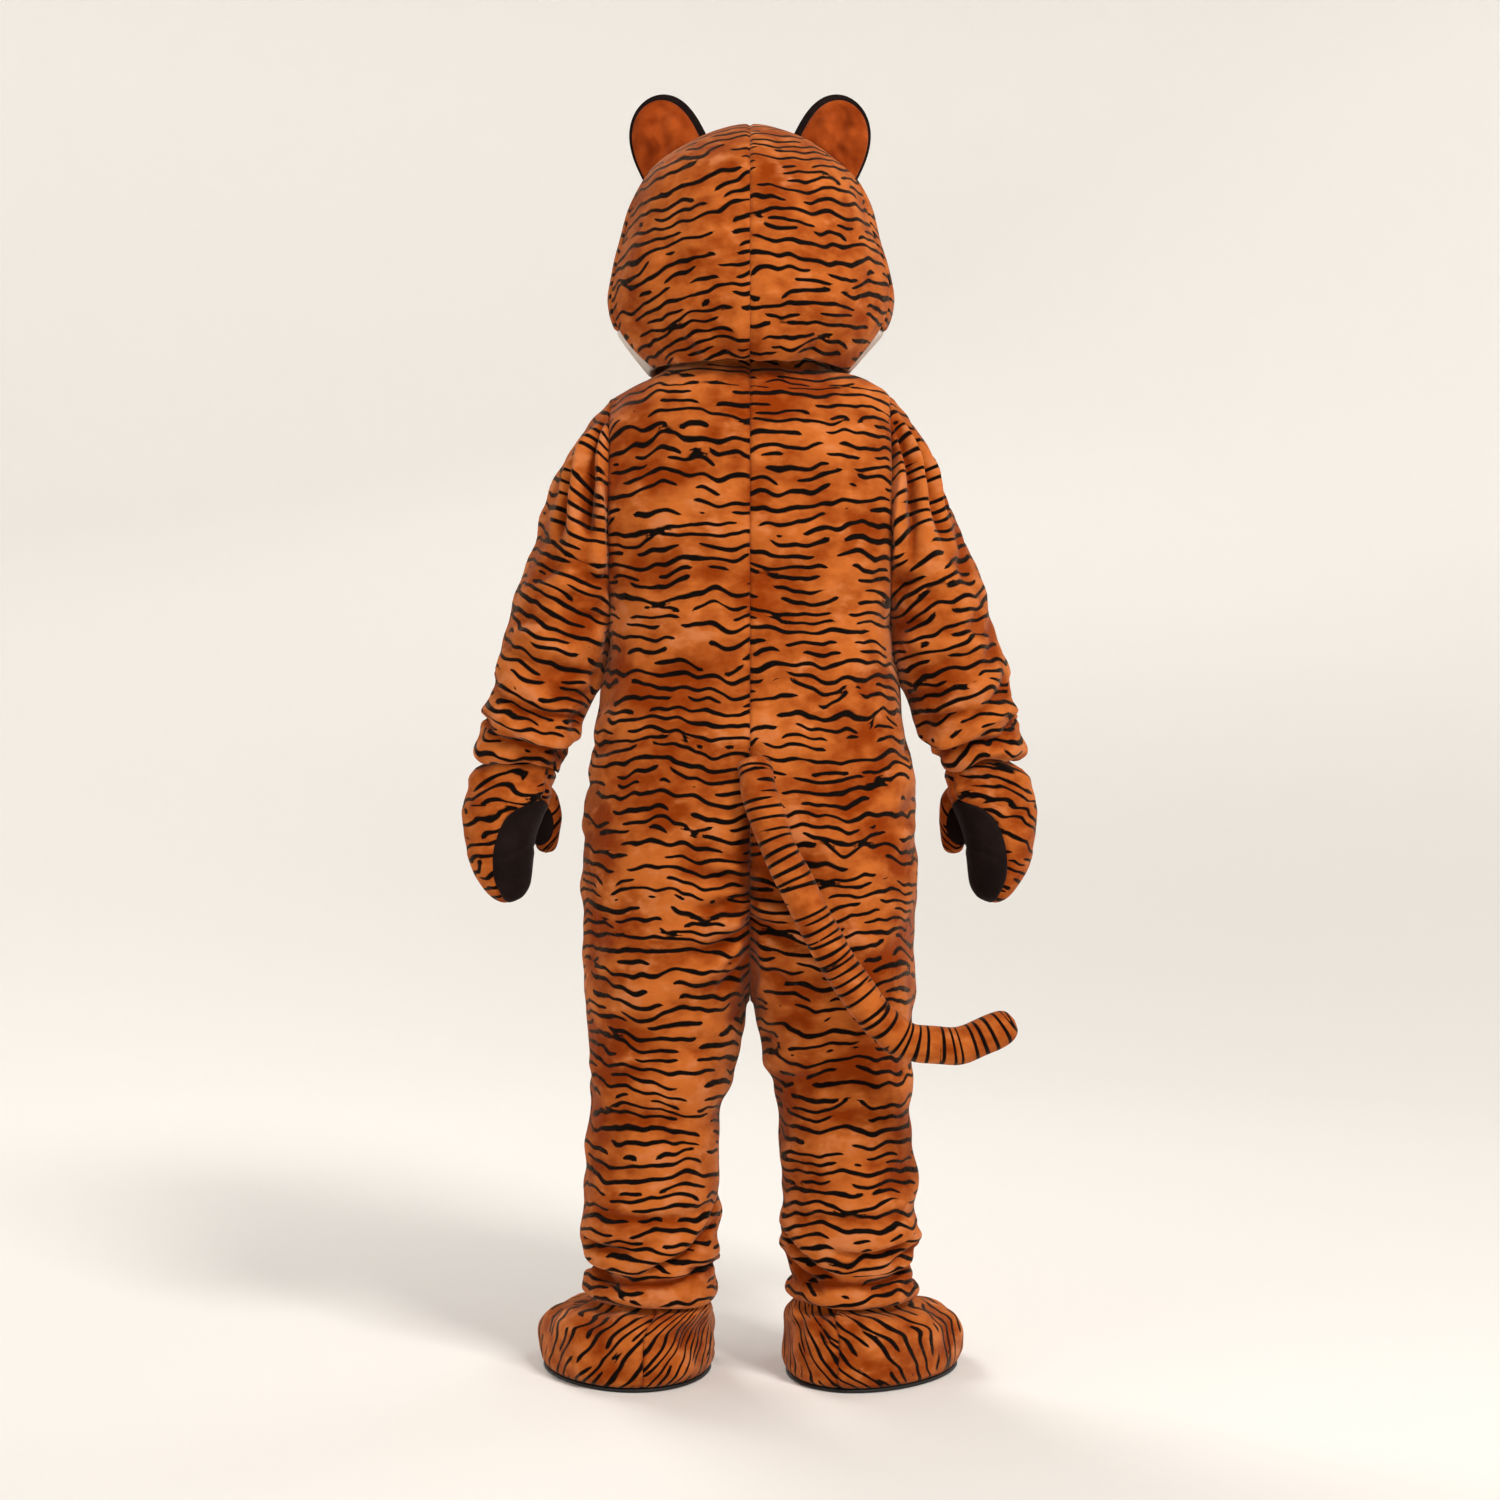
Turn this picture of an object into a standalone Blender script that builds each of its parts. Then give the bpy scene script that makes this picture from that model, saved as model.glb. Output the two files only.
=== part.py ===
"""A tiger mascot costume in the shape it has when worn, as the pieces its maker sews.

The costume faces -Y and its own left side is +X. Heights in the tables run from the
floor, and every piece is lowered by HOLD_HEIGHT at the end, so that the origin lies
between the shoulders, where the wearer carries it. Each piece is a closed wall: an
outer grid of points worked out from a table of sections, and the same grid moved in
by the thickness of its cloth.
"""

import bmesh
import bpy
import numpy as np

# Driving sizes, in metres
HOLD_HEIGHT = 1.45  # floor to the origin
SEAM_GAP = 0.0003  # between two pieces that are sewn together
PAD_GAP = 0.0012  # under a patch, which spans several facets of the panel that it lies on
PLUSH = 0.003  # backing and nap of the suit, mitts and shoes
HEAD_WALL = 0.012  # plush on foam
PATCH = 0.0015  # cloth of a patch
ARMHOLE_X = 0.2045  # the armhole lies in this upright plane
ARMHOLE_LOW = 1.110
ARMHOLE_TOP = 1.448
ARMHOLE_DEPTH = 0.104  # half of its size from front to back
BACK_SEAM_ANGLE = 75.0  # degrees from the centre back to the head's side seam
HALF_ROW = 0.5  # of a tube's table

SIDES = {"left": 1.0, "right": -1.0}
UP = (0.0, 0.0, 1.0)
DOWN = (0.0, 0.0, -1.0)

# Finishes: colour, roughness
FINISHES = {
    "striped_plush": ((0.56, 0.20, 0.05, 1.0), 0.85),
    "orange_plush": ((0.62, 0.17, 0.03, 1.0), 0.85),
    "pale_plush": ((0.80, 0.74, 0.68, 1.0), 0.85),
    "black_plush": ((0.020, 0.016, 0.016, 1.0), 0.80),
    "sight_mesh": ((0.015, 0.015, 0.015, 1.0), 0.60),
    "sole_rubber": ((0.012, 0.012, 0.012, 1.0), 0.55),
}


def table(columns, rows):
    """The rows as one array for each named column."""
    return dict(zip(columns.split(), np.array(rows, float).T))


# The suit, hem to neck. side: the outer edge; centre and inner: the middle and the inner
# edge of one leg, which meets the other where inner is negative; back and front: depths
# from the side seam; square: 2 is an ellipse, more is fuller.
SUIT = table(
    "height side centre inner back front square",
    (
        (0.118, 0.2430, 0.1500, 0.0570, 0.092, 0.094, 2.0),
        (0.134, 0.2465, 0.1505, 0.0545, 0.097, 0.098, 2.0),
        (0.152, 0.2450, 0.1495, 0.0540, 0.096, 0.097, 2.0),
        (0.170, 0.2385, 0.1450, 0.0510, 0.091, 0.093, 2.0),
        (0.192, 0.2470, 0.1480, 0.0490, 0.099, 0.098, 2.0),
        (0.216, 0.2510, 0.1500, 0.0490, 0.103, 0.102, 2.0),
        (0.260, 0.2475, 0.1475, 0.0475, 0.101, 0.102, 2.0),
        (0.305, 0.2465, 0.1460, 0.0450, 0.102, 0.103, 2.0),
        (0.371, 0.2415, 0.1430, 0.0440, 0.107, 0.106, 2.0),
        (0.440, 0.2405, 0.1345, 0.0290, 0.118, 0.115, 2.1),
        (0.505, 0.2405, 0.1275, 0.0150, 0.132, 0.127, 2.1),
        (0.540, 0.2410, 0.1230, 0.0045, 0.141, 0.135, 2.2),
        (0.556, 0.2415, 0.1210, 0.0000, 0.146, 0.139, 2.2),
        (0.575, 0.2425, 0.1150, -0.0120, 0.151, 0.144, 2.2),
        (0.600, 0.2440, 0.1040, -0.0350, 0.158, 0.150, 2.3),
        (0.640, 0.2460, 0.0800, -0.0850, 0.168, 0.160, 2.3),
        (0.680, 0.2480, 0.0450, -0.1600, 0.175, 0.168, 2.3),
        (0.720, 0.2485, 0.0000, -0.2500, 0.179, 0.173, 2.3),
        (0.771, 0.2475, 0.0000, -0.2500, 0.180, 0.177, 2.3),
        (0.838, 0.2420, 0.0000, -0.2500, 0.177, 0.178, 2.3),
        (0.904, 0.2340, 0.0000, -0.2500, 0.171, 0.177, 2.3),
        (0.971, 0.2235, 0.0000, -0.2500, 0.166, 0.174, 2.3),
        (1.040, 0.2140, 0.0000, -0.2500, 0.163, 0.170, 2.3),
        (1.110, 0.2045, 0.0000, -0.2500, 0.163, 0.166, 2.3),
        (1.200, 0.2045, 0.0000, -0.2500, 0.166, 0.162, 2.3),
        (1.300, 0.2045, 0.0000, -0.2500, 0.166, 0.156, 2.3),
        (1.370, 0.2045, 0.0000, -0.2500, 0.160, 0.147, 2.2),
        (1.420, 0.2045, 0.0000, -0.2500, 0.149, 0.136, 2.1),
        (1.448, 0.2045, 0.0000, -0.2500, 0.139, 0.128, 2.0),
        (1.459, 0.1900, 0.0000, -0.2500, 0.133, 0.124, 2.0),
        (1.468, 0.1690, 0.0000, -0.2500, 0.127, 0.119, 2.0),
        (1.474, 0.1490, 0.0000, -0.2500, 0.121, 0.114, 2.0),
        (1.482, 0.1280, 0.0000, -0.2500, 0.112, 0.108, 2.0),
        (1.500, 0.1160, 0.0000, -0.2500, 0.105, 0.102, 2.0),
        (1.530, 0.1100, 0.0000, -0.2500, 0.101, 0.098, 2.0),
    ),
)
# Heights of the suit's grid, close together where the ankle, crotch and armhole turn
SUIT_ROWS = (
    *(0.118, 0.134, 0.152, 0.170, 0.192, 0.216, 0.270, 0.371, 0.440, 0.505, 0.540, 0.556),
    *(0.575, 0.600, 0.640, 0.680, 0.730, 0.800, 0.890, 0.990, ARMHOLE_LOW, 1.122, 1.155),
    *(1.230, 1.320, 1.395, 1.434, ARMHOLE_TOP, 1.460, 1.472, 1.484, 1.530),
)

# A sleeve, armhole to cuff: each ring passes through its outer and its inner point
SLEEVE = table(
    "outer_x outer_z inner_x inner_z depth",
    (
        (0.2045, 1.448, 0.2045, 1.110, 0.104),
        (0.2350, 1.416, 0.2075, 1.096, 0.109),
        (0.2620, 1.371, 0.2105, 1.082, 0.109),
        (0.2900, 1.305, 0.2135, 1.066, 0.106),
        (0.3170, 1.235, 0.2175, 1.048, 0.101),
        (0.3460, 1.148, 0.2230, 1.027, 0.095),
        (0.3680, 1.078, 0.2300, 1.002, 0.089),
        (0.3850, 1.015, 0.2400, 0.977, 0.083),
        (0.3950, 0.970, 0.2510, 0.955, 0.078),
        (0.3990, 0.940, 0.2640, 0.935, 0.071),
        (0.3940, 0.922, 0.2765, 0.913, 0.061),
        (0.3850, 0.915, 0.2900, 0.904, 0.050),
    ),
)

# The head from its neck edge to its crown
HEAD = table(
    "height width back front",
    (
        (1.480, 0.1480, 0.146, 0.136),
        (1.504, 0.1710, 0.166, 0.152),
        (1.526, 0.1890, 0.179, 0.166),
        (1.548, 0.2025, 0.187, 0.177),
        (1.570, 0.2095, 0.192, 0.184),
        (1.592, 0.2120, 0.195, 0.189),
        (1.637, 0.2040, 0.198, 0.192),
        (1.681, 0.1900, 0.195, 0.190),
        (1.726, 0.1780, 0.183, 0.179),
        (1.762, 0.1600, 0.165, 0.162),
        (1.792, 0.1310, 0.139, 0.137),
        (1.816, 0.0970, 0.107, 0.106),
        (1.834, 0.0600, 0.070, 0.070),
        (1.844, 0.0290, 0.035, 0.035),
        (1.847, 0.0000, 0.000, 0.000),
    ),
)
HEAD_TOP = len(HEAD["height"]) - 1
# The seam between brow and face runs from one row of HEAD at the side to another in front
FACE_SEAM_SIDE = 2.6
FACE_SEAM_FRONT = 6.0
FACE_ROWS = (0.0, 0.5, 1.0, 1.5, 2.0, FACE_SEAM_SIDE)  # where they end at the side seam
BROW_ROWS = (FACE_SEAM_SIDE, *range(3, HEAD_TOP + 1))
# Muzzle: how far it stands forward, its middle and its spreads
MUZZLE = {"reach": 0.052, "height": 1.580, "spread_z": 0.052, "spread_angle": 36.0}
EYE = {"angle": 150.0, "row": 7.05, "half_angle": 10.5, "half_rows": 0.62, "lift": 0.002}
NOSE = {"angle": 180.0, "row": 5.45, "half_angle": 7.5, "half_rows": 0.40, "lift": 0.013}

# An ear: a dome of cloth on the crown, seen as half widths and length from its base.
# EAR_EDGE is its thickness at the rim, and EAR_SAG how far its base dips to the crown.
EAR_BASE_OUTER = (0.156, 1.7705)
EAR_BASE_INNER = (0.066, 1.8355)
EAR = {"length": 0.0935, "half_width": 0.058, "skew": 0.015, "round": 2.6, "cup": 0.008}
EAR_EDGE = 0.003
EAR_SAG = 0.004
EAR_BACK_INSET = 0.0060  # the black front shows this far round the orange back
EAR_BACK_SHIFT = 0.0035  # outwards, so that most of the black shows on top and inside
EAR_PAD = 0.013

# A mitt from the wrist to the finger tips; palm_from and palm_to are where the palm
# starts and ends round the ring, in degrees from the outer edge by way of the back
MITT = table(
    "height outer inner depth palm_from palm_to",
    (
        (0.6990, 0.3600, 0.3600, 0.000, 76, 198),
        (0.7020, 0.3710, 0.3490, 0.011, 76, 198),
        (0.7100, 0.3840, 0.3350, 0.023, 74, 200),
        (0.7310, 0.4010, 0.3240, 0.034, 71, 204),
        (0.7560, 0.4120, 0.3210, 0.041, 76, 206),
        (0.7890, 0.4210, 0.3180, 0.046, 86, 203),
        (0.8240, 0.4240, 0.3070, 0.050, 98, 196),
        (0.8420, 0.4230, 0.2990, 0.052, 116, 184),
        (0.8530, 0.4220, 0.2945, 0.052, 150, 150),
        (0.8700, 0.4180, 0.2900, 0.051, 150, 150),
        (0.8970, 0.4045, 0.2905, 0.047, 150, 150),
        (0.9130, 0.3770, 0.2970, 0.040, 150, 150),
        (0.9400, 0.3720, 0.3020, 0.035, 150, 150),
    ),
)
MITT_PALM_TOP = 0.853
THUMB_SIDE = (-0.50, -0.87, 0.0)  # the way the thumb leaves the mitt
THUMB = table(
    "x y z radius",
    (
        (0.3086, -0.0384, 0.8620, 0.0130),
        (0.3046, -0.0448, 0.8605, 0.0132),
        (0.3016, -0.0500, 0.8560, 0.0137),
        (0.2998, -0.0540, 0.8490, 0.0146),
        (0.2998, -0.0560, 0.8400, 0.0160),
        (0.3020, -0.0560, 0.8190, 0.0190),
        (0.3040, -0.0535, 0.7990, 0.0192),
        (0.3050, -0.0505, 0.7840, 0.0165),
        (0.3052, -0.0485, 0.7755, 0.0108),
        (0.3052, -0.0478, 0.7718, 0.0000),
    ),
)

# A shoe cover from the sole up: how far each ring's back end is ahead of the heel, its
# half length and width, and its share of the way from the shoe's line to the ankle
SHOE = table(
    "height heel length width lean",
    (
        (0.0060, 0.008, 0.173, 0.125, 0.00),
        (0.0280, 0.000, 0.184, 0.131, 0.00),
        (0.0520, 0.001, 0.183, 0.130, 0.00),
        (0.0750, 0.007, 0.168, 0.124, 0.05),
        (0.0930, 0.014, 0.140, 0.111, 0.30),
        (0.1050, 0.020, 0.107, 0.096, 0.70),
        (0.1110, 0.026, 0.088, 0.087, 1.00),
        (0.1180, 0.032, 0.081, 0.081, 1.00),
        (0.1300, 0.036, 0.079, 0.079, 1.00),
    ),
)
SHOE_NARROW_HEEL = 0.10
ANKLE = (0.150, 0.000)
HEELS = {"left": (0.154, 0.116), "right": (-0.126, 0.116)}
TOE_OUT = {"left": 9.0, "right": -17.0}  # degrees

# The tail from the centre-back seam to its tip
TAIL = table(
    "x y z radius",
    (
        (-0.0060, 0.1700, 0.905, 0.0240),
        (-0.0110, 0.1860, 0.878, 0.0245),
        (-0.0190, 0.2000, 0.848, 0.0250),
        (-0.0320, 0.2070, 0.808, 0.0255),
        (-0.0620, 0.2085, 0.744, 0.0260),
        (-0.0975, 0.2050, 0.6735, 0.0260),
        (-0.1400, 0.1970, 0.602, 0.0262),
        (-0.1830, 0.1880, 0.5455, 0.0265),
        (-0.2320, 0.1790, 0.512, 0.0268),
        (-0.2830, 0.1700, 0.506, 0.0270),
        (-0.3330, 0.1610, 0.520, 0.0268),
        (-0.3620, 0.1560, 0.534, 0.0235),
        (-0.3730, 0.1545, 0.540, 0.0150),
        (-0.3765, 0.1540, 0.542, 0.0000),
    ),
)


def smooth(keys, values, at):
    """The value at each key in `at` on a cubic through the table that never overshoots it.

    Each inner slope is the weighted harmonic mean of its two neighbours, or nought where
    the values turn.
    """
    step = np.diff(keys)
    slope = np.diff(values) / step
    before, after = slope[:-1], slope[1:]
    heavy, light = 2 * step[1:] + step[:-1], step[1:] + 2 * step[:-1]
    rising = before * after > 0
    safe_before = np.where(rising, before, 1.0)
    safe_after = np.where(rising, after, 1.0)
    mean = (heavy + light) / (heavy / safe_before + light / safe_after)
    tangent = np.concatenate([slope[:1], np.where(rising, mean, 0.0), slope[-1:]])
    at = np.clip(at, keys[0], keys[-1])
    row = np.clip(np.searchsorted(keys, at, side="right") - 1, 0, len(step) - 1)
    t = (at - keys[row]) / step[row]
    rise = step[row] * (
        tangent[row] * t * (1 - t) ** 2 - tangent[row + 1] * t**2 * (1 - t)
    )
    return values[row] * (1 + 2 * t) * (1 - t) ** 2 + values[row + 1] * t**2 * (3 - 2 * t) + rise


def read(columns, key, names, at):
    """The named columns of a table at the keys `at`."""
    return [smooth(columns[key], columns[name], at) for name in names.split()]


def by_row(columns, names, at):
    """The named columns of a table at the row numbers `at`, which may lie between rows."""
    rows = np.arange(len(next(iter(columns.values()))), dtype=float)
    return [smooth(rows, columns[name], at) for name in names.split()]


def stack(x, y, z):
    return np.stack(np.broadcast_arrays(x, y, z), axis=-1)


def unit(vectors):
    return vectors / np.maximum(np.linalg.norm(vectors, axis=-1, keepdims=True), 1e-12)


def grid(across, along):
    return np.meshgrid(across, along, indexing="ij")


def outward(surface, u, v):
    """Unit normals of a surface, from differences, turned away from the panel's middle."""
    step = 1e-3
    u = np.clip(u, step, 1 - step)
    v = np.clip(v, step, 1 - step)
    along_u = surface(u + step, v) - surface(u - step, v)
    along_v = surface(u, v + step) - surface(u, v - step)
    normals = unit(np.cross(along_u, along_v))
    points = surface(u, v)
    from_middle = points - points.reshape(-1, 3).mean(axis=0)
    return normals * np.sign((normals * from_middle).sum())


def trimmed(points, ring, poles):
    """The grid with each edge moved in by half a seam's gap, and each pole by a little more."""
    points = points.copy()
    for row, poled in ((0, poles[0]), (-1, poles[1])):
        near = 1 if row == 0 else -2
        inward = points[:, near] - points[:, row]
        if poled:
            inward = inward.mean(axis=0, keepdims=True)
            points[:, row] = points[:, row].mean(axis=0) + unit(inward) * SEAM_GAP * 1.5
        else:
            points[:, row] += unit(inward) * SEAM_GAP / 2
    if not ring:
        for column, near in ((0, 1), (-1, -2)):
            inward = points[near] - points[column]
            length = np.linalg.norm(inward, axis=-1, keepdims=True)
            points[column] += np.where(length > SEAM_GAP, unit(inward), 0.0) * SEAM_GAP / 2
    return points


def material(name, finish):
    colour, roughness = FINISHES[finish]
    made = bpy.data.materials.new(name + "_" + finish)
    made.use_nodes = True
    shader = made.node_tree.nodes["Principled BSDF"]
    shader.inputs["Base Color"].default_value = colour
    shader.inputs["Roughness"].default_value = roughness
    shader.inputs["Metallic"].default_value = 0.0
    made.diffuse_color = colour
    return made


def add_object(name, points, faces, finish):
    """A smooth-shaded object of these points and faces, facing out, with its poles merged."""
    mesh = bpy.data.meshes.new(name)
    mesh.from_pydata((points - (0, 0, HOLD_HEIGHT)).tolist(), [], faces)
    work = bmesh.new()
    work.from_mesh(mesh)
    bmesh.ops.remove_doubles(work, verts=work.verts, dist=1e-5)
    bmesh.ops.recalc_face_normals(work, faces=work.faces)
    work.to_mesh(mesh)
    work.free()
    mesh.shade_smooth()
    mesh.set_sharp_from_angle(angle=np.radians(50))
    mesh.materials.append(material(name, finish))
    made = bpy.data.objects.new(name, mesh)
    bpy.context.scene.collection.objects.link(made)
    return made


def wall_between(name, outer, inner, finish, ring=False, poles=(False, False)):
    """The closed solid between two grids of the same shape.

    A ring's last column joins its first; a pole is a row drawn together to one point. The
    edges are triangles that lean the same way on each piece, so that seams fit.
    """
    columns, rows = outer.shape[:2]
    points = np.concatenate([outer.reshape(-1, 3), inner.reshape(-1, 3)])
    index = np.arange(columns * rows).reshape(columns, rows)
    if ring:
        index = np.concatenate([index, index[:1]])
    below = index + columns * rows
    cells = [index[:-1, :-1], index[1:, :-1], index[1:, 1:], index[:-1, 1:]]
    under = [below[:-1, :-1], below[:-1, 1:], below[1:, 1:], below[1:, :-1]]
    faces = np.stack(cells, -1).reshape(-1, 4).tolist() + np.stack(under, -1).reshape(-1, 4).tolist()
    edges = [] if poles[0] else [(index[:, 0], below[:, 0])]
    edges += [] if poles[1] else [(index[:, -1], below[:, -1])]
    edges += [] if ring else [(index[0], below[0]), (index[-1], below[-1])]
    for top, bottom in edges:
        faces += np.stack([top[:-1], bottom[:-1], bottom[1:]], -1).tolist()
        faces += np.stack([top[:-1], bottom[1:], top[1:]], -1).tolist()
    return add_object(name, points, faces, finish)


def cloth(name, surface, across, along, finish, thick=PLUSH, keep=None, **shape):
    """A panel of cloth: its surface's points, and the same points moved in by its thickness.

    A pole that neighbours share faces the way given in `tips`; another one faces the mean way.
    """
    ring, poles = shape.get("ring", False), shape.get("poles", (False, False))
    u, v = grid(across, along)
    outer = surface(u, v)
    normals = outward(surface, u, v)
    for row, poled in ((0, poles[0]), (-1, poles[1])):
        if poled:
            mean = unit(normals[:, row].mean(axis=0))
            normals[:, row] = mean if shape["tips"][row] is None else shape["tips"][row]
    inner = outer - normals * thick
    outer, inner = trimmed(outer, ring, poles), trimmed(inner, ring, poles)
    if keep:
        outer, inner = keep(outer), keep(inner)
    return wall_between(name, outer, inner, finish, ring, poles)


def pad_on(name, surface, centre, radii, lift, finish):
    """A padded patch on a surface: its points inside an ellipse, moved out, highest in the middle."""
    turn = np.linspace(0, 2 * np.pi, 10, endpoint=False)
    angle, share = grid(turn, (0.0, 0.45, 0.8, 1.0))
    u = centre[0] + radii[0] * share * np.cos(angle)
    v = centre[1] + radii[1] * share * np.sin(angle)
    points = surface(u, v)
    normals = outward(surface, u, v)
    height = PAD_GAP + PATCH + lift * np.sqrt(1 - share[..., None] ** 2)
    outer = points + normals * height
    inner = points + normals * PAD_GAP
    return wall_between(name, outer, inner, finish, True, (True, False))


def even(count):
    return np.linspace(0.0, 1.0, count)


def power(values, exponent):
    return np.sign(values) * np.abs(values) ** exponent


def armhole_depth(height):
    """Half of the armhole's size from front to back at a height, nought above and below it."""
    middle = (ARMHOLE_TOP + ARMHOLE_LOW) / 2
    half = (ARMHOLE_TOP - ARMHOLE_LOW) / 2
    return ARMHOLE_DEPTH * np.sqrt(np.maximum(0.0, 1 - ((height - middle) / half) ** 2))


def suit_surface(side, face):
    """One quarter of the suit as a function of (inner seam to side seam, height).

    Each height is a fuller ellipse whose inner half reaches to the middle of the body or
    to the inseam. Along the armhole it is widened until it leaves the armhole's plane at
    the armhole's edge, and it ends there.
    """

    def surface(u, v):
        low, high = SUIT["height"][[0, -1]]
        height = low + v * (high - low)
        out, centre, inner, square = read(SUIT, "height", "side centre inner square", height)
        depth = read(SUIT, "height", face, height)[0]
        reach_in = centre - inner
        start = np.arccos(np.clip(centre / reach_in, 0, 1) ** (square / 2))
        edge = np.clip(armhole_depth(height) / depth, 0, 0.98)
        beside = (height > ARMHOLE_LOW) & (height < ARMHOLE_TOP)
        widened = ARMHOLE_X / (1 - edge**square) ** (1 / square)
        reach_out = np.where(beside, widened, out - centre)
        stop = np.where(beside, np.arccos(-((ARMHOLE_X / widened) ** (square / 2))), np.pi)
        angle = start + (stop - start) * u
        cosine, sine = np.cos(angle), np.sin(angle)
        reach = np.where(cosine > 0, reach_in, reach_out)
        x = centre - reach * power(cosine, 2 / square)
        y = depth * power(np.maximum(sine, 0.0), 2 / square)
        return stack(side * x, y if face == "back" else -y, height)

    return surface


def suit_back_depth(x, height):
    """How far back the suit's surface is at a place across it and a height."""
    out, centre, inner, square = read(SUIT, "height", "side centre inner square", height)
    depth = read(SUIT, "height", "back", height)[0]
    reach = np.where(np.abs(x) > centre, out - centre, centre - inner)
    share = np.clip(np.abs(np.abs(x) - centre) / reach, 0, 1)
    return depth * (1 - share**square) ** (1 / square)


def add_suit():
    low, high = SUIT["height"][[0, -1]]
    along = (np.array(SUIT_ROWS) - low) / (high - low)
    for side_name, side in SIDES.items():
        for face, toward in (("back", 1.0), ("front", -1.0)):

            def keep(points, side=side, toward=toward):
                x = np.clip(side * points[..., 0], SEAM_GAP / 2, None)
                beside = armhole_depth(points[..., 2]) > 0
                x = np.where(beside, np.minimum(x, ARMHOLE_X - SEAM_GAP / 2), x)
                y = np.clip(toward * points[..., 1], SEAM_GAP / 2, None)
                return stack(side * x, toward * y, points[..., 2])

            name = "suit_" + face + "_" + side_name
            cloth(name, suit_surface(side, face), even(6), along, "striped_plush", keep=keep)


def sleeve_surface(side):
    """A sleeve as (round, armhole to cuff): ellipses through an outer and an inner point."""

    def surface(u, v):
        row = v * (len(SLEEVE["depth"]) - 1)
        ox, oz, ix, iz, depth = by_row(SLEEVE, "outer_x outer_z inner_x inner_z depth", row)
        angle = 2 * np.pi * u
        x = (ox + ix) / 2 + (ox - ix) / 2 * np.cos(angle)
        z = (oz + iz) / 2 + (oz - iz) / 2 * np.cos(angle)
        return stack(side * x, depth * np.sin(angle), z)

    return surface


def add_sleeves():
    around = np.linspace(0, 1, 16, endpoint=False)
    for side_name, side in SIDES.items():

        def keep(points, side=side):
            x = np.maximum(side * points[..., 0], ARMHOLE_X + SEAM_GAP / 2)
            return stack(side * x, points[..., 1], points[..., 2])

        name = "sleeve_" + side_name
        rows = even(len(SLEEVE["depth"]))
        cloth(name, sleeve_surface(side), around, rows, "striped_plush", keep=keep, ring=True)


def head_point(angle, row):
    """A point of the head at degrees from the centre back and at a row of its table.

    The ring is an ellipse with one depth behind and one in front, and the muzzle adds a
    bump that falls off as a bell curve round and up from its middle.
    """
    height, width, back, front = by_row(HEAD, "height width back front", row)
    radians = np.radians(angle)
    depth = np.where(np.cos(radians) > 0, back, front)
    from_front = (np.mod(angle, 360) - 180) / MUZZLE["spread_angle"]
    from_middle = (height - MUZZLE["height"]) / MUZZLE["spread_z"]
    bump = MUZZLE["reach"] * np.exp(-(from_front**2) - from_middle**2)
    return stack(width * np.sin(radians), depth * np.cos(radians) - bump, height)


def face_seam(angle):
    """The row of the seam between brow and face, lowest at the side seams."""
    share = (1 - np.cos(np.radians(angle - BACK_SEAM_ANGLE) * 180 / (180 - BACK_SEAM_ANGLE))) / 2
    return FACE_SEAM_SIDE + (FACE_SEAM_FRONT - FACE_SEAM_SIDE) * share


def front_angle(u):
    return BACK_SEAM_ANGLE + (360 - 2 * BACK_SEAM_ANGLE) * u


def brow_surface(u, v):
    angle = front_angle(u)
    seam = face_seam(angle)
    return head_point(angle, seam + (HEAD_TOP - seam) * v)


def face_surface(u, v):
    angle = front_angle(u)
    return head_point(angle, face_seam(angle) * v)


def add_head():
    brow_rows = (np.array(BROW_ROWS) - FACE_SEAM_SIDE) / (HEAD_TOP - FACE_SEAM_SIDE)
    face_rows = np.array(FACE_ROWS) / FACE_SEAM_SIDE
    back_rows = np.array(FACE_ROWS + BROW_ROWS[1:]) / HEAD_TOP
    for side_name, side in SIDES.items():

        def back(u, v, side=side):
            return head_point(side * BACK_SEAM_ANGLE * u, HEAD_TOP * v)

        def keep(points, side=side):
            x = np.maximum(side * points[..., 0], SEAM_GAP / 2)
            return stack(side * x, points[..., 1], points[..., 2])

        name = "head_back_" + side_name
        shape = {"thick": HEAD_WALL, "poles": (False, True), "tips": (None, UP), "keep": keep}
        cloth(name, back, even(5), back_rows, "striped_plush", **shape)
    shape = {"thick": HEAD_WALL, "poles": (False, True), "tips": (None, UP)}
    cloth("head_brow", brow_surface, even(13), brow_rows, "striped_plush", **shape)
    cloth("head_face", face_surface, even(13), face_rows, "pale_plush", thick=HEAD_WALL)


def add_face_pieces():
    def whole(u, v):
        return head_point(360 * u, HEAD_TOP * v)

    for side_name, side in SIDES.items():
        centre = (np.mod(side * EYE["angle"], 360) / 360, EYE["row"] / HEAD_TOP)
        radii = (EYE["half_angle"] / 360, EYE["half_rows"] / HEAD_TOP)
        pad_on("eye_" + side_name, whole, centre, radii, EYE["lift"], "sight_mesh")
    centre = (NOSE["angle"] / 360, NOSE["row"] / HEAD_TOP)
    radii = (NOSE["half_angle"] / 360, NOSE["half_rows"] / HEAD_TOP)
    pad_on("nose", whole, centre, radii, NOSE["lift"], "black_plush")


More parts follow.
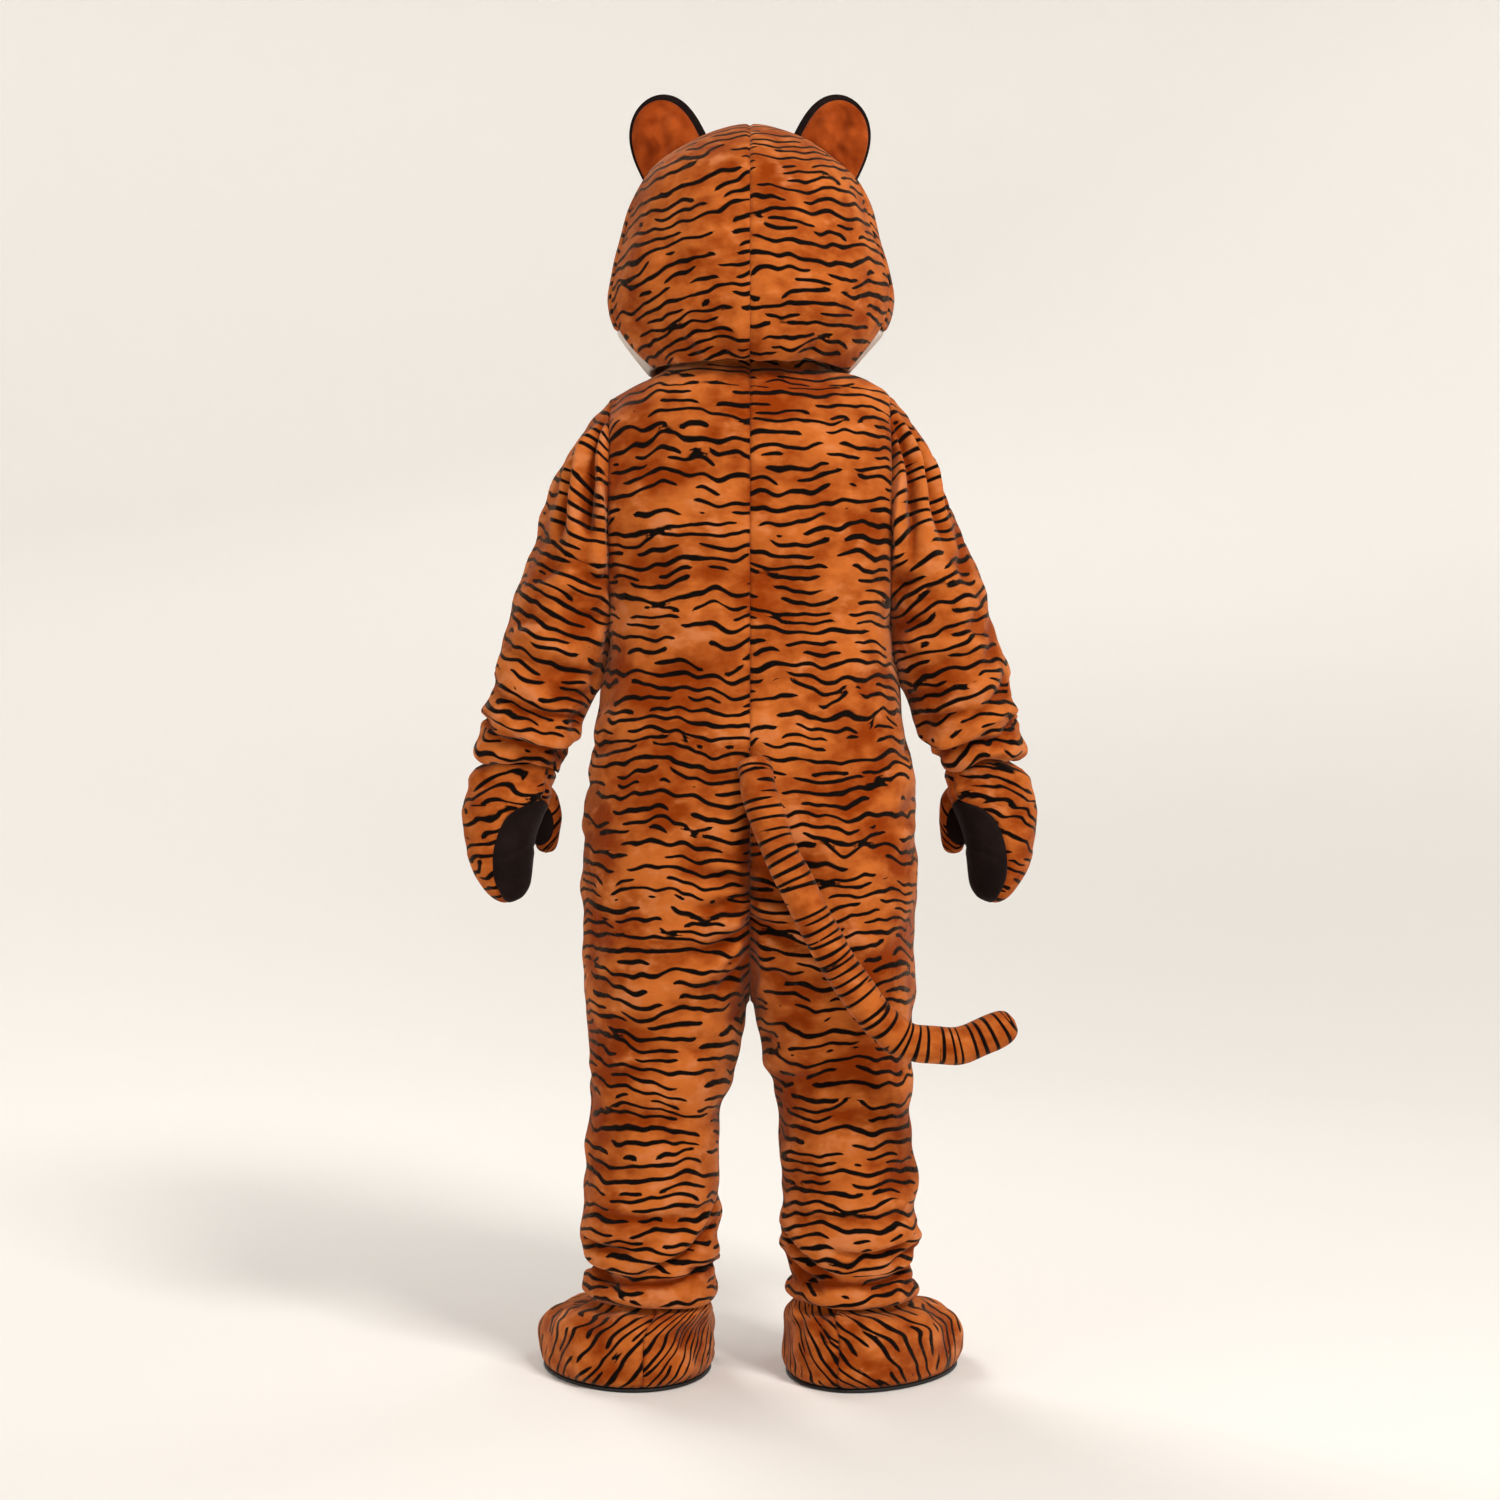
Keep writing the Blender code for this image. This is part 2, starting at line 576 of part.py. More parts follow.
def ear_grid(side, inset, shift, bulge, y_from):
    """The two faces of an ear pad: (round to the eye, flat) grids of the same outline.

    The half width falls with height as a rounded dome, the pad is cupped forward towards
    its edges, and its outer face is highest in the middle.
    """
    u, v = grid(np.linspace(-1, 1, 8), np.array([0, 0.35, 0.70, 0.90, 1.0]))
    outer_end, inner_end = np.array(EAR_BASE_OUTER), np.array(EAR_BASE_INNER)
    middle = (outer_end + inner_end) / 2
    across = unit(inner_end - outer_end)
    up = np.array([across[1], -across[0]])
    half = (EAR["half_width"] - inset) * np.sqrt(np.maximum(1 - v ** EAR["round"], 0))
    side_way = half * u + EAR["skew"] * v - shift
    rise = (EAR["length"] - inset) * v + EAR_SAG * (1 - u**2) * (1 - v)
    x = middle[0] + across[0] * side_way + up[0] * rise
    z = middle[1] + across[1] * side_way + up[1] * rise
    cup = -EAR["cup"] * (side_way / EAR["half_width"]) ** 2
    domed = EAR_EDGE + bulge * (1 - u**2) * np.sqrt(np.maximum(1 - v**2, 0))
    flat = stack(side * x, y_from + cup, z)
    full = stack(side * x, y_from + cup + np.sign(y_from) * domed, z)
    return full, flat


def add_ears():
    for side_name, side in SIDES.items():
        gap = 1.3 * SEAM_GAP  # on each face, because both are faceted curves
        for face, inset, shift, y_from, finish in (
            ("back", EAR_BACK_INSET, EAR_BACK_SHIFT, gap, "orange_plush"),
            ("front", 0.0, 0.0, -gap, "black_plush"),
        ):
            full, flat = ear_grid(side, inset, shift, EAR_PAD - EAR_EDGE, y_from)
            name = "ear_" + face + "_" + side_name
            wall_between(name, full, flat, finish, poles=(False, True))


def mitt_point(side, angle, height):
    """A point of a mitt's ring at degrees from its outer edge by way of the back."""
    outer, inner, depth = read(MITT, "height", "outer inner depth", height)
    radians = np.radians(angle)
    x = (outer + inner) / 2 + (outer - inner) / 2 * np.cos(radians)
    return stack(side * x, depth * np.sin(radians), height)


def add_mitts():
    low, high = MITT["height"][[0, -1]]
    shell_rows = (np.delete(MITT["height"], [9]) - low) / (high - low)
    palm_heights = MITT["height"][MITT["height"] <= MITT_PALM_TOP]
    palm_rows = (palm_heights - low) / (MITT_PALM_TOP - low)
    for side_name, side in SIDES.items():

        def shell(u, v, side=side):
            height = low + (high - low) * v
            start, stop = read(MITT, "height", "palm_to palm_from", height)
            return mitt_point(side, start + (stop + 360 - start) * u, height)

        def palm(u, v, side=side):
            height = low + (MITT_PALM_TOP - low) * v
            start, stop = read(MITT, "height", "palm_from palm_to", height)
            return mitt_point(side, start + (stop - start) * u, height)

        shape = {"poles": (True, False), "tips": (DOWN, None)}
        cloth("mitt_shell_" + side_name, shell, even(12), shell_rows, "striped_plush", **shape)
        shape = {"poles": (True, True), "tips": (DOWN, None)}
        cloth("mitt_palm_" + side_name, palm, even(5), palm_rows, "black_plush", **shape)


def tube_surface(path, side, reference):
    """A tube as (round, along): circles square to the path, with no twist about it.

    The way of the path is taken over a whole row, so that it turns evenly.
    """

    def surface(u, v):
        row = v * (len(path["radius"]) - 1)
        centre = stack(*by_row(path, "x y z", row))
        ahead = stack(*by_row(path, "x y z", row + HALF_ROW))
        behind = stack(*by_row(path, "x y z", row - HALF_ROW))
        way = unit(ahead - behind)
        first = unit(np.cross(way, np.array(reference)))
        second = np.cross(first, way)
        radius = by_row(path, "radius", row)[0][..., None]
        angle = (2 * np.pi * u)[..., None]
        points = centre + radius * (first * np.cos(angle) + second * np.sin(angle))
        return points * (side, 1, 1)

    return surface


def add_thumbs():
    around = np.linspace(0, 1, 8, endpoint=False)
    rows = even(len(THUMB["radius"]))
    across = (-THUMB_SIDE[1], THUMB_SIDE[0], 0.0)
    for side_name, side in SIDES.items():
        surface = tube_surface(THUMB, side, across)
        shape = {"ring": True, "poles": (False, True), "tips": (None, DOWN)}
        cloth("thumb_" + side_name, surface, around, rows, "striped_plush", **shape)
        pad_on("thumb_pad_" + side_name, surface, (0.5, 0.62), (0.16, 0.19), 0.0006, "black_plush")


def add_tail():
    """A stuffed tube, solid right through, cut at its base to the suit's back."""
    around = np.linspace(0, 1, 10, endpoint=False)
    u, v = grid(around, even(len(TAIL["radius"])))
    points = tube_surface(TAIL, 1.0, (0, 1, 0))(u, v)
    behind = suit_back_depth(points[..., 0], points[..., 2]) + SEAM_GAP
    points[..., 1] = np.maximum(points[..., 1], behind)
    columns, rows = points.shape[:2]
    index = np.arange(columns * rows).reshape(columns, rows)
    index = np.concatenate([index, index[:1]])
    cells = [index[:-1, :-1], index[1:, :-1], index[1:, 1:], index[:-1, 1:]]
    faces = np.stack(cells, -1).reshape(-1, 4).tolist()
    faces.append(index[:-1, 0][::-1].tolist())
    add_object("tail", points.reshape(-1, 3), faces, "striped_plush")


def shoe_point(side_name, angle, row):
    """A point of a shoe's ring at degrees from its left edge by way of the heel."""
    height, heel, length, width, lean = by_row(SHOE, "height heel length width lean", row)
    side = SIDES[side_name]
    radians = np.radians(angle)
    turn = np.radians(TOE_OUT[side_name])
    narrow = 1 - SHOE_NARROW_HEEL * np.sin(radians) * (1 - lean)
    across = width * np.cos(radians) * narrow
    along = length * np.sin(radians)
    middle = -(heel + length)
    start_x, start_y = HEELS[side_name]
    centre_x = (1 - lean) * (start_x - middle * np.sin(turn)) + lean * side * ANKLE[0]
    centre_y = (1 - lean) * (start_y + middle * np.cos(turn)) + lean * ANKLE[1]
    x = centre_x + across * np.cos(turn) - along * np.sin(turn)
    y = centre_y + across * np.sin(turn) + along * np.cos(turn)
    return stack(x, y, height)


def add_shoes():
    last = len(SHOE["height"]) - 1
    for side_name, side in SIDES.items():
        for half, way in (("outer", -side), ("inner", side)):

            def surface(u, v, side_name=side_name, way=way):
                return shoe_point(side_name, 90 + way * 180 * u, last * v)

            name = "shoe_" + half + "_" + side_name
            cloth(name, surface, even(8), even(last + 1), "striped_plush")
        turn = np.linspace(0, 360, 36, endpoint=False)
        rim = shoe_point(side_name, turn, np.zeros(36))
        top = rim - (0, 0, SEAM_GAP)
        bottom = rim * (1, 1, 0)
        index = np.arange(36)
        sides = np.stack([index, np.roll(index, -1), np.roll(index, -1) + 36, index + 36], -1)
        faces = sides.tolist() + [index[::-1].tolist(), (index + 36).tolist()]
        add_object("sole_" + side_name, np.concatenate([top, bottom]), faces, "sole_rubber")


def clear_scene():
    for item in list(bpy.data.objects):
        bpy.data.objects.remove(item, do_unlink=True)


clear_scene()
add_suit()
add_sleeves()
add_head()
add_face_pieces()
add_ears()
add_mitts()
add_thumbs()
add_tail()
add_shoes()
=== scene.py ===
"""Looks of a striped plush tiger costume, laid out as an add-on whose panel makes each piece.

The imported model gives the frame. Every cloth piece is worked out again here as a fine,
thin shell on the same tables of sections, and then gets its folds, seams and nap. Heights
in the tables run from the floor, and each piece is lowered by HOLD_HEIGHT at the end.
The costume faces -Y and its own left side is +X. Sizes are in metres.
"""

import bmesh
import bpy
import numpy as np
from bpy.props import FloatProperty, FloatVectorProperty, PointerProperty
from bpy.types import Operator, Panel, PropertyGroup
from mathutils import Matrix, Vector


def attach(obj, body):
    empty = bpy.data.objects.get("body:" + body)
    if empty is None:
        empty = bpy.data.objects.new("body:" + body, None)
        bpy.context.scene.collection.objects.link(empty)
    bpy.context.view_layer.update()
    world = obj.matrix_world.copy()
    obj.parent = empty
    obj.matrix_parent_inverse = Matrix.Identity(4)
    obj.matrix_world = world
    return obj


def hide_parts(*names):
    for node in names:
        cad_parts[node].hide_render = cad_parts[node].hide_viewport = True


bl_info = {
    "name": "Tiger Costume",
    "version": (1, 0, 0),
    "blender": (4, 5, 0),
    "location": "3D View > Sidebar > Costume",
    "description": "Makes the shells, plush and stage of a worn tiger costume",
    "category": "Add Mesh",
}

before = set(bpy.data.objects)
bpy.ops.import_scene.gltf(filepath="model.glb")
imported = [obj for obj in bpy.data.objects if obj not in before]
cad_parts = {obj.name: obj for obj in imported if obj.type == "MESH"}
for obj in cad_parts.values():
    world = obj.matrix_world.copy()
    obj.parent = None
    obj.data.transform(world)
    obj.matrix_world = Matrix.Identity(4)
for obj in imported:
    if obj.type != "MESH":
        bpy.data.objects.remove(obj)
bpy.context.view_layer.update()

HOLD_HEIGHT = 1.45  # floor to the origin
SIDES = {"left": 1.0, "right": -1.0}
SEAM_GAP = 0.0003  # between two pieces that are sewn together
PAD_GAP = 0.0012  # under a patch
PLUSH = 0.003  # backing and nap of the suit, mitts and shoe covers
HEAD_WALL = 0.012  # plush on foam
PATCH = 0.0015  # cloth of a patch
ARMHOLE_X = 0.2045  # the armhole lies in this upright plane
ARMHOLE_LOW = 1.110
ARMHOLE_TOP = 1.448
ARMHOLE_DEPTH = 0.104  # half of its size from front to back
BACK_SEAM_ANGLE = 75.0  # degrees from the centre back to the head's side seam
HALF_ROW = 0.5  # of a tube's table


def table(columns, rows):
    """The rows as one array for each named column."""
    return dict(zip(columns.split(), np.array(rows, float).T))


# ---------------------------------------------------------------- the costume's sections

SUIT = table(
    "height side centre inner back front square",
    (
        (0.118, 0.2430, 0.1500, 0.0570, 0.092, 0.094, 2.0),
        (0.134, 0.2465, 0.1505, 0.0545, 0.097, 0.098, 2.0),
        (0.152, 0.2450, 0.1495, 0.0540, 0.096, 0.097, 2.0),
        (0.170, 0.2385, 0.1450, 0.0510, 0.091, 0.093, 2.0),
        (0.192, 0.2470, 0.1480, 0.0490, 0.099, 0.098, 2.0),
        (0.216, 0.2510, 0.1500, 0.0490, 0.103, 0.102, 2.0),
        (0.260, 0.2475, 0.1475, 0.0475, 0.101, 0.102, 2.0),
        (0.305, 0.2465, 0.1460, 0.0450, 0.102, 0.103, 2.0),
        (0.371, 0.2415, 0.1430, 0.0440, 0.107, 0.106, 2.0),
        (0.440, 0.2405, 0.1345, 0.0290, 0.118, 0.115, 2.1),
        (0.505, 0.2405, 0.1275, 0.0150, 0.132, 0.127, 2.1),
        (0.540, 0.2410, 0.1230, 0.0045, 0.141, 0.135, 2.2),
        (0.556, 0.2415, 0.1210, 0.0000, 0.146, 0.139, 2.2),
        (0.575, 0.2425, 0.1150, -0.0120, 0.151, 0.144, 2.2),
        (0.600, 0.2440, 0.1040, -0.0350, 0.158, 0.150, 2.3),
        (0.640, 0.2460, 0.0800, -0.0850, 0.168, 0.160, 2.3),
        (0.680, 0.2480, 0.0450, -0.1600, 0.175, 0.168, 2.3),
        (0.720, 0.2485, 0.0000, -0.2500, 0.179, 0.173, 2.3),
        (0.771, 0.2475, 0.0000, -0.2500, 0.180, 0.177, 2.3),
        (0.838, 0.2420, 0.0000, -0.2500, 0.177, 0.178, 2.3),
        (0.904, 0.2340, 0.0000, -0.2500, 0.171, 0.177, 2.3),
        (0.971, 0.2235, 0.0000, -0.2500, 0.166, 0.174, 2.3),
        (1.040, 0.2140, 0.0000, -0.2500, 0.163, 0.170, 2.3),
        (1.110, 0.2045, 0.0000, -0.2500, 0.163, 0.166, 2.3),
        (1.200, 0.2045, 0.0000, -0.2500, 0.166, 0.162, 2.3),
        (1.300, 0.2045, 0.0000, -0.2500, 0.166, 0.156, 2.3),
        (1.370, 0.2045, 0.0000, -0.2500, 0.160, 0.147, 2.2),
        (1.420, 0.2045, 0.0000, -0.2500, 0.149, 0.136, 2.1),
        (1.448, 0.2045, 0.0000, -0.2500, 0.139, 0.128, 2.0),
        (1.459, 0.1900, 0.0000, -0.2500, 0.133, 0.124, 2.0),
        (1.468, 0.1690, 0.0000, -0.2500, 0.127, 0.119, 2.0),
        (1.474, 0.1490, 0.0000, -0.2500, 0.121, 0.114, 2.0),
        (1.482, 0.1280, 0.0000, -0.2500, 0.112, 0.108, 2.0),
        (1.500, 0.1160, 0.0000, -0.2500, 0.105, 0.102, 2.0),
        (1.530, 0.1100, 0.0000, -0.2500, 0.101, 0.098, 2.0),
    ),
)
# Rows of the suit's fine grid: closer where the ankle rolls and the armhole turns
SUIT_STEPS = (
    (0.118, 0.290, 0.0034),
    (0.290, 1.104, 0.0052),
    (1.104, 1.124, 0.0013),
    (1.124, 1.436, 0.0052),
    (1.436, 1.478, 0.0018),
    (1.478, 1.530, 0.0040),
)

SLEEVE = table(
    "outer_x outer_z inner_x inner_z depth",
    (
        (0.2045, 1.448, 0.2045, 1.110, 0.104),
        (0.2350, 1.416, 0.2075, 1.096, 0.109),
        (0.2620, 1.371, 0.2105, 1.082, 0.109),
        (0.2900, 1.305, 0.2135, 1.066, 0.106),
        (0.3170, 1.235, 0.2175, 1.048, 0.101),
        (0.3460, 1.148, 0.2230, 1.027, 0.095),
        (0.3680, 1.078, 0.2300, 1.002, 0.089),
        (0.3850, 1.015, 0.2400, 0.977, 0.083),
        (0.3950, 0.970, 0.2510, 0.955, 0.078),
        (0.3990, 0.940, 0.2640, 0.935, 0.071),
        (0.3940, 0.922, 0.2765, 0.913, 0.061),
        (0.3850, 0.915, 0.2900, 0.904, 0.050),
    ),
)
ARM_START = (0.2045, 1.279)  # the armhole's middle, as x and height
ARM_WAY = (0.339, -0.941)  # the way the arm runs, as x and height
ARM_RADIUS = 0.085
ARM_TOP = (0.2045, 1.448)

HEAD = table(
    "height width back front",
    (
        (1.480, 0.1480, 0.146, 0.136),
        (1.504, 0.1710, 0.166, 0.152),
        (1.526, 0.1890, 0.179, 0.166),
        (1.548, 0.2025, 0.187, 0.177),
        (1.570, 0.2095, 0.192, 0.184),
        (1.592, 0.2120, 0.195, 0.189),
        (1.637, 0.2040, 0.198, 0.192),
        (1.681, 0.1900, 0.195, 0.190),
        (1.726, 0.1780, 0.183, 0.179),
        (1.762, 0.1600, 0.165, 0.162),
        (1.792, 0.1310, 0.139, 0.137),
        (1.816, 0.0970, 0.107, 0.106),
        (1.834, 0.0600, 0.070, 0.070),
        (1.844, 0.0290, 0.035, 0.035),
        (1.847, 0.0000, 0.000, 0.000),
    ),
)
HEAD_TOP = len(HEAD["height"]) - 1
HEAD_MIDDLE = (0, 0, 1.6)
FACE_SEAM_SIDE = 2.6  # rows of the head's table that the seam over the face runs at
FACE_SEAM_FRONT = 6.0
MUZZLE = {"reach": 0.052, "height": 1.580, "spread_z": 0.052, "spread_angle": 36.0}
EYE = {"angle": 150.0, "row": 7.05, "half_angle": 10.5, "half_rows": 0.62, "lift": 0.002}
NOSE = {"angle": 180.0, "row": 5.45, "half_angle": 7.5, "half_rows": 0.40, "lift": 0.013}

EAR_BASE_OUTER = (0.156, 1.7705)
EAR_BASE_INNER = (0.066, 1.8355)
EAR = {"length": 0.0935, "half_width": 0.058, "skew": 0.015, "round": 3.0, "cup": 0.008}
EAR_EDGE = 0.003  # its thickness at the rim
EAR_SAG = 0.004  # how far its base dips to the crown
EAR_BACK_INSET = 0.0072  # the black front shows this far round the orange back
EAR_BACK_SHIFT = 0.0042  # outwards, so that most of the black shows on top and inside
EAR_PAD = 0.013
EAR_CRUMPLE = 1.5  # how much deeper the crumples are than their table

MITT = table(
    "height outer inner depth palm_from palm_to",
    (
        (0.6990, 0.3600, 0.3600, 0.000, 76, 198),
        (0.7020, 0.3710, 0.3490, 0.011, 76, 198),
        (0.7100, 0.3840, 0.3350, 0.023, 74, 200),
        (0.7310, 0.4010, 0.3240, 0.034, 71, 204),
        (0.7560, 0.4120, 0.3210, 0.041, 76, 206),
        (0.7890, 0.4210, 0.3180, 0.046, 86, 203),
        (0.8240, 0.4240, 0.3070, 0.050, 98, 196),
        (0.8420, 0.4230, 0.2990, 0.052, 116, 184),
        (0.8530, 0.4220, 0.2945, 0.052, 150, 150),
        (0.8700, 0.4180, 0.2900, 0.051, 150, 150),
        (0.8970, 0.4045, 0.2905, 0.047, 150, 150),
        (0.9130, 0.3770, 0.2970, 0.040, 150, 150),
        (0.9400, 0.3720, 0.3020, 0.035, 150, 150),
    ),
)
MITT_LOW, MITT_HIGH = MITT["height"][[0, -1]]
MITT_PALM_TOP = 0.853
THUMB_SIDE = (-0.50, -0.87, 0.0)  # the way that the thumb's pad faces
THUMB_MIDDLE = (0.303, -0.054, 0.810)
THUMB = table(
    "x y z radius",
    (
        (0.3086, -0.0384, 0.8620, 0.0130),
        (0.3046, -0.0448, 0.8605, 0.0132),
        (0.3016, -0.0500, 0.8560, 0.0137),
        (0.2998, -0.0540, 0.8490, 0.0146),
        (0.2998, -0.0560, 0.8400, 0.0160),
        (0.3020, -0.0560, 0.8190, 0.0190),
        (0.3040, -0.0535, 0.7990, 0.0192),
        (0.3050, -0.0505, 0.7840, 0.0165),
        (0.3052, -0.0485, 0.7755, 0.0108),
        (0.3052, -0.0478, 0.7718, 0.0000),
    ),
)

SHOE = table(
    "height heel length width lean",
    (
        (0.0060, 0.008, 0.173, 0.125, 0.00),
        (0.0280, 0.000, 0.184, 0.131, 0.00),
        (0.0520, 0.001, 0.183, 0.130, 0.00),
        (0.0750, 0.007, 0.168, 0.124, 0.05),
        (0.0930, 0.014, 0.140, 0.111, 0.30),
        (0.1050, 0.020, 0.107, 0.096, 0.70),
        (0.1110, 0.026, 0.088, 0.087, 1.00),
        (0.1180, 0.032, 0.081, 0.081, 1.00),
        (0.1300, 0.036, 0.079, 0.079, 1.00),
    ),
)
SHOE_TOP = len(SHOE["height"]) - 1
SHOE_NARROW_HEEL = 0.10
ANKLE = (0.150, 0.000)
HEELS = {"left": (0.154, 0.116), "right": (-0.126, 0.116)}
TOE_OUT = {"left": 9.0, "right": -17.0}  # degrees

TAIL = table(
    "x y z radius",
    (
        (-0.0060, 0.1700, 0.905, 0.0240),
        (-0.0110, 0.1860, 0.878, 0.0245),
        (-0.0190, 0.2000, 0.848, 0.0250),
        (-0.0320, 0.2070, 0.808, 0.0255),
        (-0.0620, 0.2085, 0.744, 0.0260),
        (-0.0975, 0.2050, 0.6735, 0.0260),
        (-0.1400, 0.1970, 0.602, 0.0262),
        (-0.1830, 0.1880, 0.5455, 0.0265),
        (-0.2320, 0.1790, 0.512, 0.0268),
        (-0.2830, 0.1700, 0.506, 0.0270),
        (-0.3330, 0.1610, 0.520, 0.0268),
        (-0.3620, 0.1560, 0.534, 0.0235),
        (-0.3730, 0.1545, 0.540, 0.0150),
        (-0.3765, 0.1540, 0.542, 0.0000),
    ),
)
TAIL_RADIUS = 0.026

# Where each piece is cut from the printed cloth: how far across and up it starts, each
# with its change from the middle to the left side. No two pieces share their stripes.
CUT_FROM = {
    "sleeve": (0.0, 5.3, 7.1, 1.0),
    "head_back": (0.0, 11.0, 13.0, 1.7),
    "head_brow": (17.0, 0.0, 3.1, 0.0),
    "mitt_shell": (0.0, 23.0, 19.0, 1.0),
    "thumb": (29.0, 0.0, 31.0, 1.0),
    "tail": (37.0, 0.0, 41.0, 0.0),
}

# ---------------------------------------------------------------- folds
# Each fold is a soft ridge, or a trough where its depth is below nought, in a flat chart
# of its panel: where its middle lies, the angle it runs at in degrees, its length, the
# half width of its bell, its depth, and how far its ends bend up. So the columns are
# across, up, angle, length, width, depth, bend.

# Torso: across is measured round from the centre back, + to the costume's left
TORSO_FOLDS = (
    # the seat, drawn in to the crotch
    (0.000, 0.690, 90, 0.330, 0.0110, -0.0130, 0.0),
    (0.597, 0.650, 90, 0.240, 0.0110, -0.0080, 0.0),
    (0.046, 0.748, 3, 0.090, 0.0080, -0.0051, 0.0),
    (0.056, 0.724, -5, 0.120, 0.0100, 0.0051, 0.1),
    (0.040, 0.700, 2, 0.095, 0.0070, -0.0060, 0.0),
    (0.060, 0.672, -11, 0.130, 0.0095, 0.0060, 0.1),
    (0.048, 0.646, -17, 0.110, 0.0075, -0.0066, 0.1),
    (0.056, 0.618, -27, 0.120, 0.0090, 0.0063, 0.1),
    (0.036, 0.596, -34, 0.090, 0.0070, -0.0063, 0.0),
    (-0.026, 0.742, 24, 0.070, 0.0075, 0.0051, 0.0),
    (-0.040, 0.716, 10, 0.100, 0.0075, -0.0060, 0.0),
    (-0.050, 0.690, 17, 0.120, 0.0095, 0.0060, -0.1),
    (-0.040, 0.662, 24, 0.100, 0.0075, -0.0066, 0.0),
    (-0.064, 0.636, 22, 0.130, 0.0100, 0.0063, 0.1),
    (-0.042, 0.606, 33, 0.100, 0.0075, -0.0063, 0.0),
    # short puckers that the centre seam draws in
    (0.022, 0.772, 14, 0.060, 0.0055, -0.0046, 0.0),
    (0.026, 0.760, 10, 0.064, 0.0070, 0.0040, 0.0),
    (0.020, 0.736, -6, 0.058, 0.0055, -0.0050, 0.0),
    (0.026, 0.712, -14, 0.060, 0.0050, -0.0050, 0.0),
    (0.024, 0.686, -20, 0.058, 0.0070, 0.0046, 0.0),
    (0.028, 0.660, -26, 0.064, 0.0055, -0.0056, 0.0),
    (0.022, 0.632, -34, 0.058, 0.0055, -0.0056, 0.0),
    (-0.024, 0.766, -18, 0.060, 0.0055, -0.0048, 0.0),
    (-0.020, 0.728, 4, 0.058, 0.0055, -0.0050, 0.0),
    (-0.028, 0.704, 12, 0.062, 0.0070, 0.0044, 0.0),
    (-0.022, 0.676, 18, 0.058, 0.0055, -0.0054, 0.0),
    (-0.028, 0.648, 26, 0.064, 0.0055, -0.0056, 0.0),
    (-0.022, 0.620, 36, 0.058, 0.0070, 0.0048, 0.0),
    # hips and waist, beside the side seams
    (0.298, 1.080, 90, 0.140, 0.0350, 0.0034, 0.0),
    (-0.298, 1.080, 90, 0.140, 0.0350, 0.0034, 0.0),
    (0.262, 0.930, 14, 0.080, 0.0090, -0.0026, 0.1),
    (0.248, 0.902, -12, 0.090, 0.0100, 0.0026, 0.0),
    (0.270, 0.872, 10, 0.080, 0.0080, -0.0026, 0.0),
    (0.256, 0.838, 20, 0.090, 0.0100, 0.0024, 0.0),
    (0.270, 0.800, -10, 0.070, 0.0080, -0.0022, 0.0),
    (-0.256, 0.920, -14, 0.090, 0.0090, -0.0026, 0.0),
    (-0.250, 0.884, 10, 0.090, 0.0100, 0.0026, 0.1),
    (-0.268, 0.846, -12, 0.080, 0.0080, -0.0026, 0.0),
    (-0.250, 0.806, -20, 0.090, 0.0100, 0.0024, 0.0),
    # the back, long and faint
    (0.120, 1.240, 78, 0.220, 0.0170, 0.0026, 0.1),
    (-0.130, 1.220, 101, 0.230, 0.0180, 0.0026, -0.1),
    (0.090, 1.030, 6, 0.200, 0.0130, -0.0024, 0.1),
    (-0.100, 1.000, -7, 0.210, 0.0130, -0.0024, 0.1),
    (0.110, 0.970, -5, 0.190, 0.0140, 0.0024, 0.0),
    (-0.070, 0.930, 8, 0.170, 0.0140, 0.0024, 0.0),
    (0.150, 1.105, 16, 0.120, 0.0110, -0.0024, 0.0),
    (-0.160, 1.090, -18, 0.120, 0.0110, -0.0024, 0.0),
    (0.080, 1.420, 12, 0.160, 0.0110, -0.0024, 0.0),
    (-0.090, 1.425, -14, 0.160, 0.0110, -0.0024, 0.0),
    # the front
    (0.560, 0.740, 6, 0.100, 0.0080, -0.0036, 0.0),
    (0.545, 0.712, -8, 0.120, 0.0100, 0.0038, 0.0),
    (0.556, 0.684, 10, 0.100, 0.0075, -0.0042, 0.0),
    (0.545, 0.650, 18, 0.120, 0.0095, 0.0042, 0.0),
    (0.560, 0.618, 28, 0.110, 0.0075, -0.0042, 0.0),
    (-0.560, 0.736, -8, 0.100, 0.0080, -0.0036, 0.0),
    (-0.545, 0.708, 7, 0.120, 0.0100, 0.0038, 0.0),
    (-0.556, 0.680, -12, 0.100, 0.0075, -0.0042, 0.0),
    (-0.545, 0.646, -20, 0.120, 0.0095, 0.0042, 0.0),
    (-0.560, 0.612, -30, 0.110, 0.0075, -0.0042, 0.0),
    (0.470, 1.230, 96, 0.220, 0.0170, 0.0028, 0.0),
    (-0.480, 1.240, 83, 0.210, 0.0170, 0.0028, 0.0),
    (0.500, 1.000, -6, 0.220, 0.0130, -0.0028, 0.1),
    (-0.490, 0.960, 7, 0.210, 0.0130, -0.0028, 0.1),
    (0.470, 0.880, 5, 0.180, 0.0130, 0.0026, 0.0),
    (-0.500, 1.060, -5, 0.190, 0.0130, 0.0026, 0.0),
)
TORSO_RADIUS = 0.19

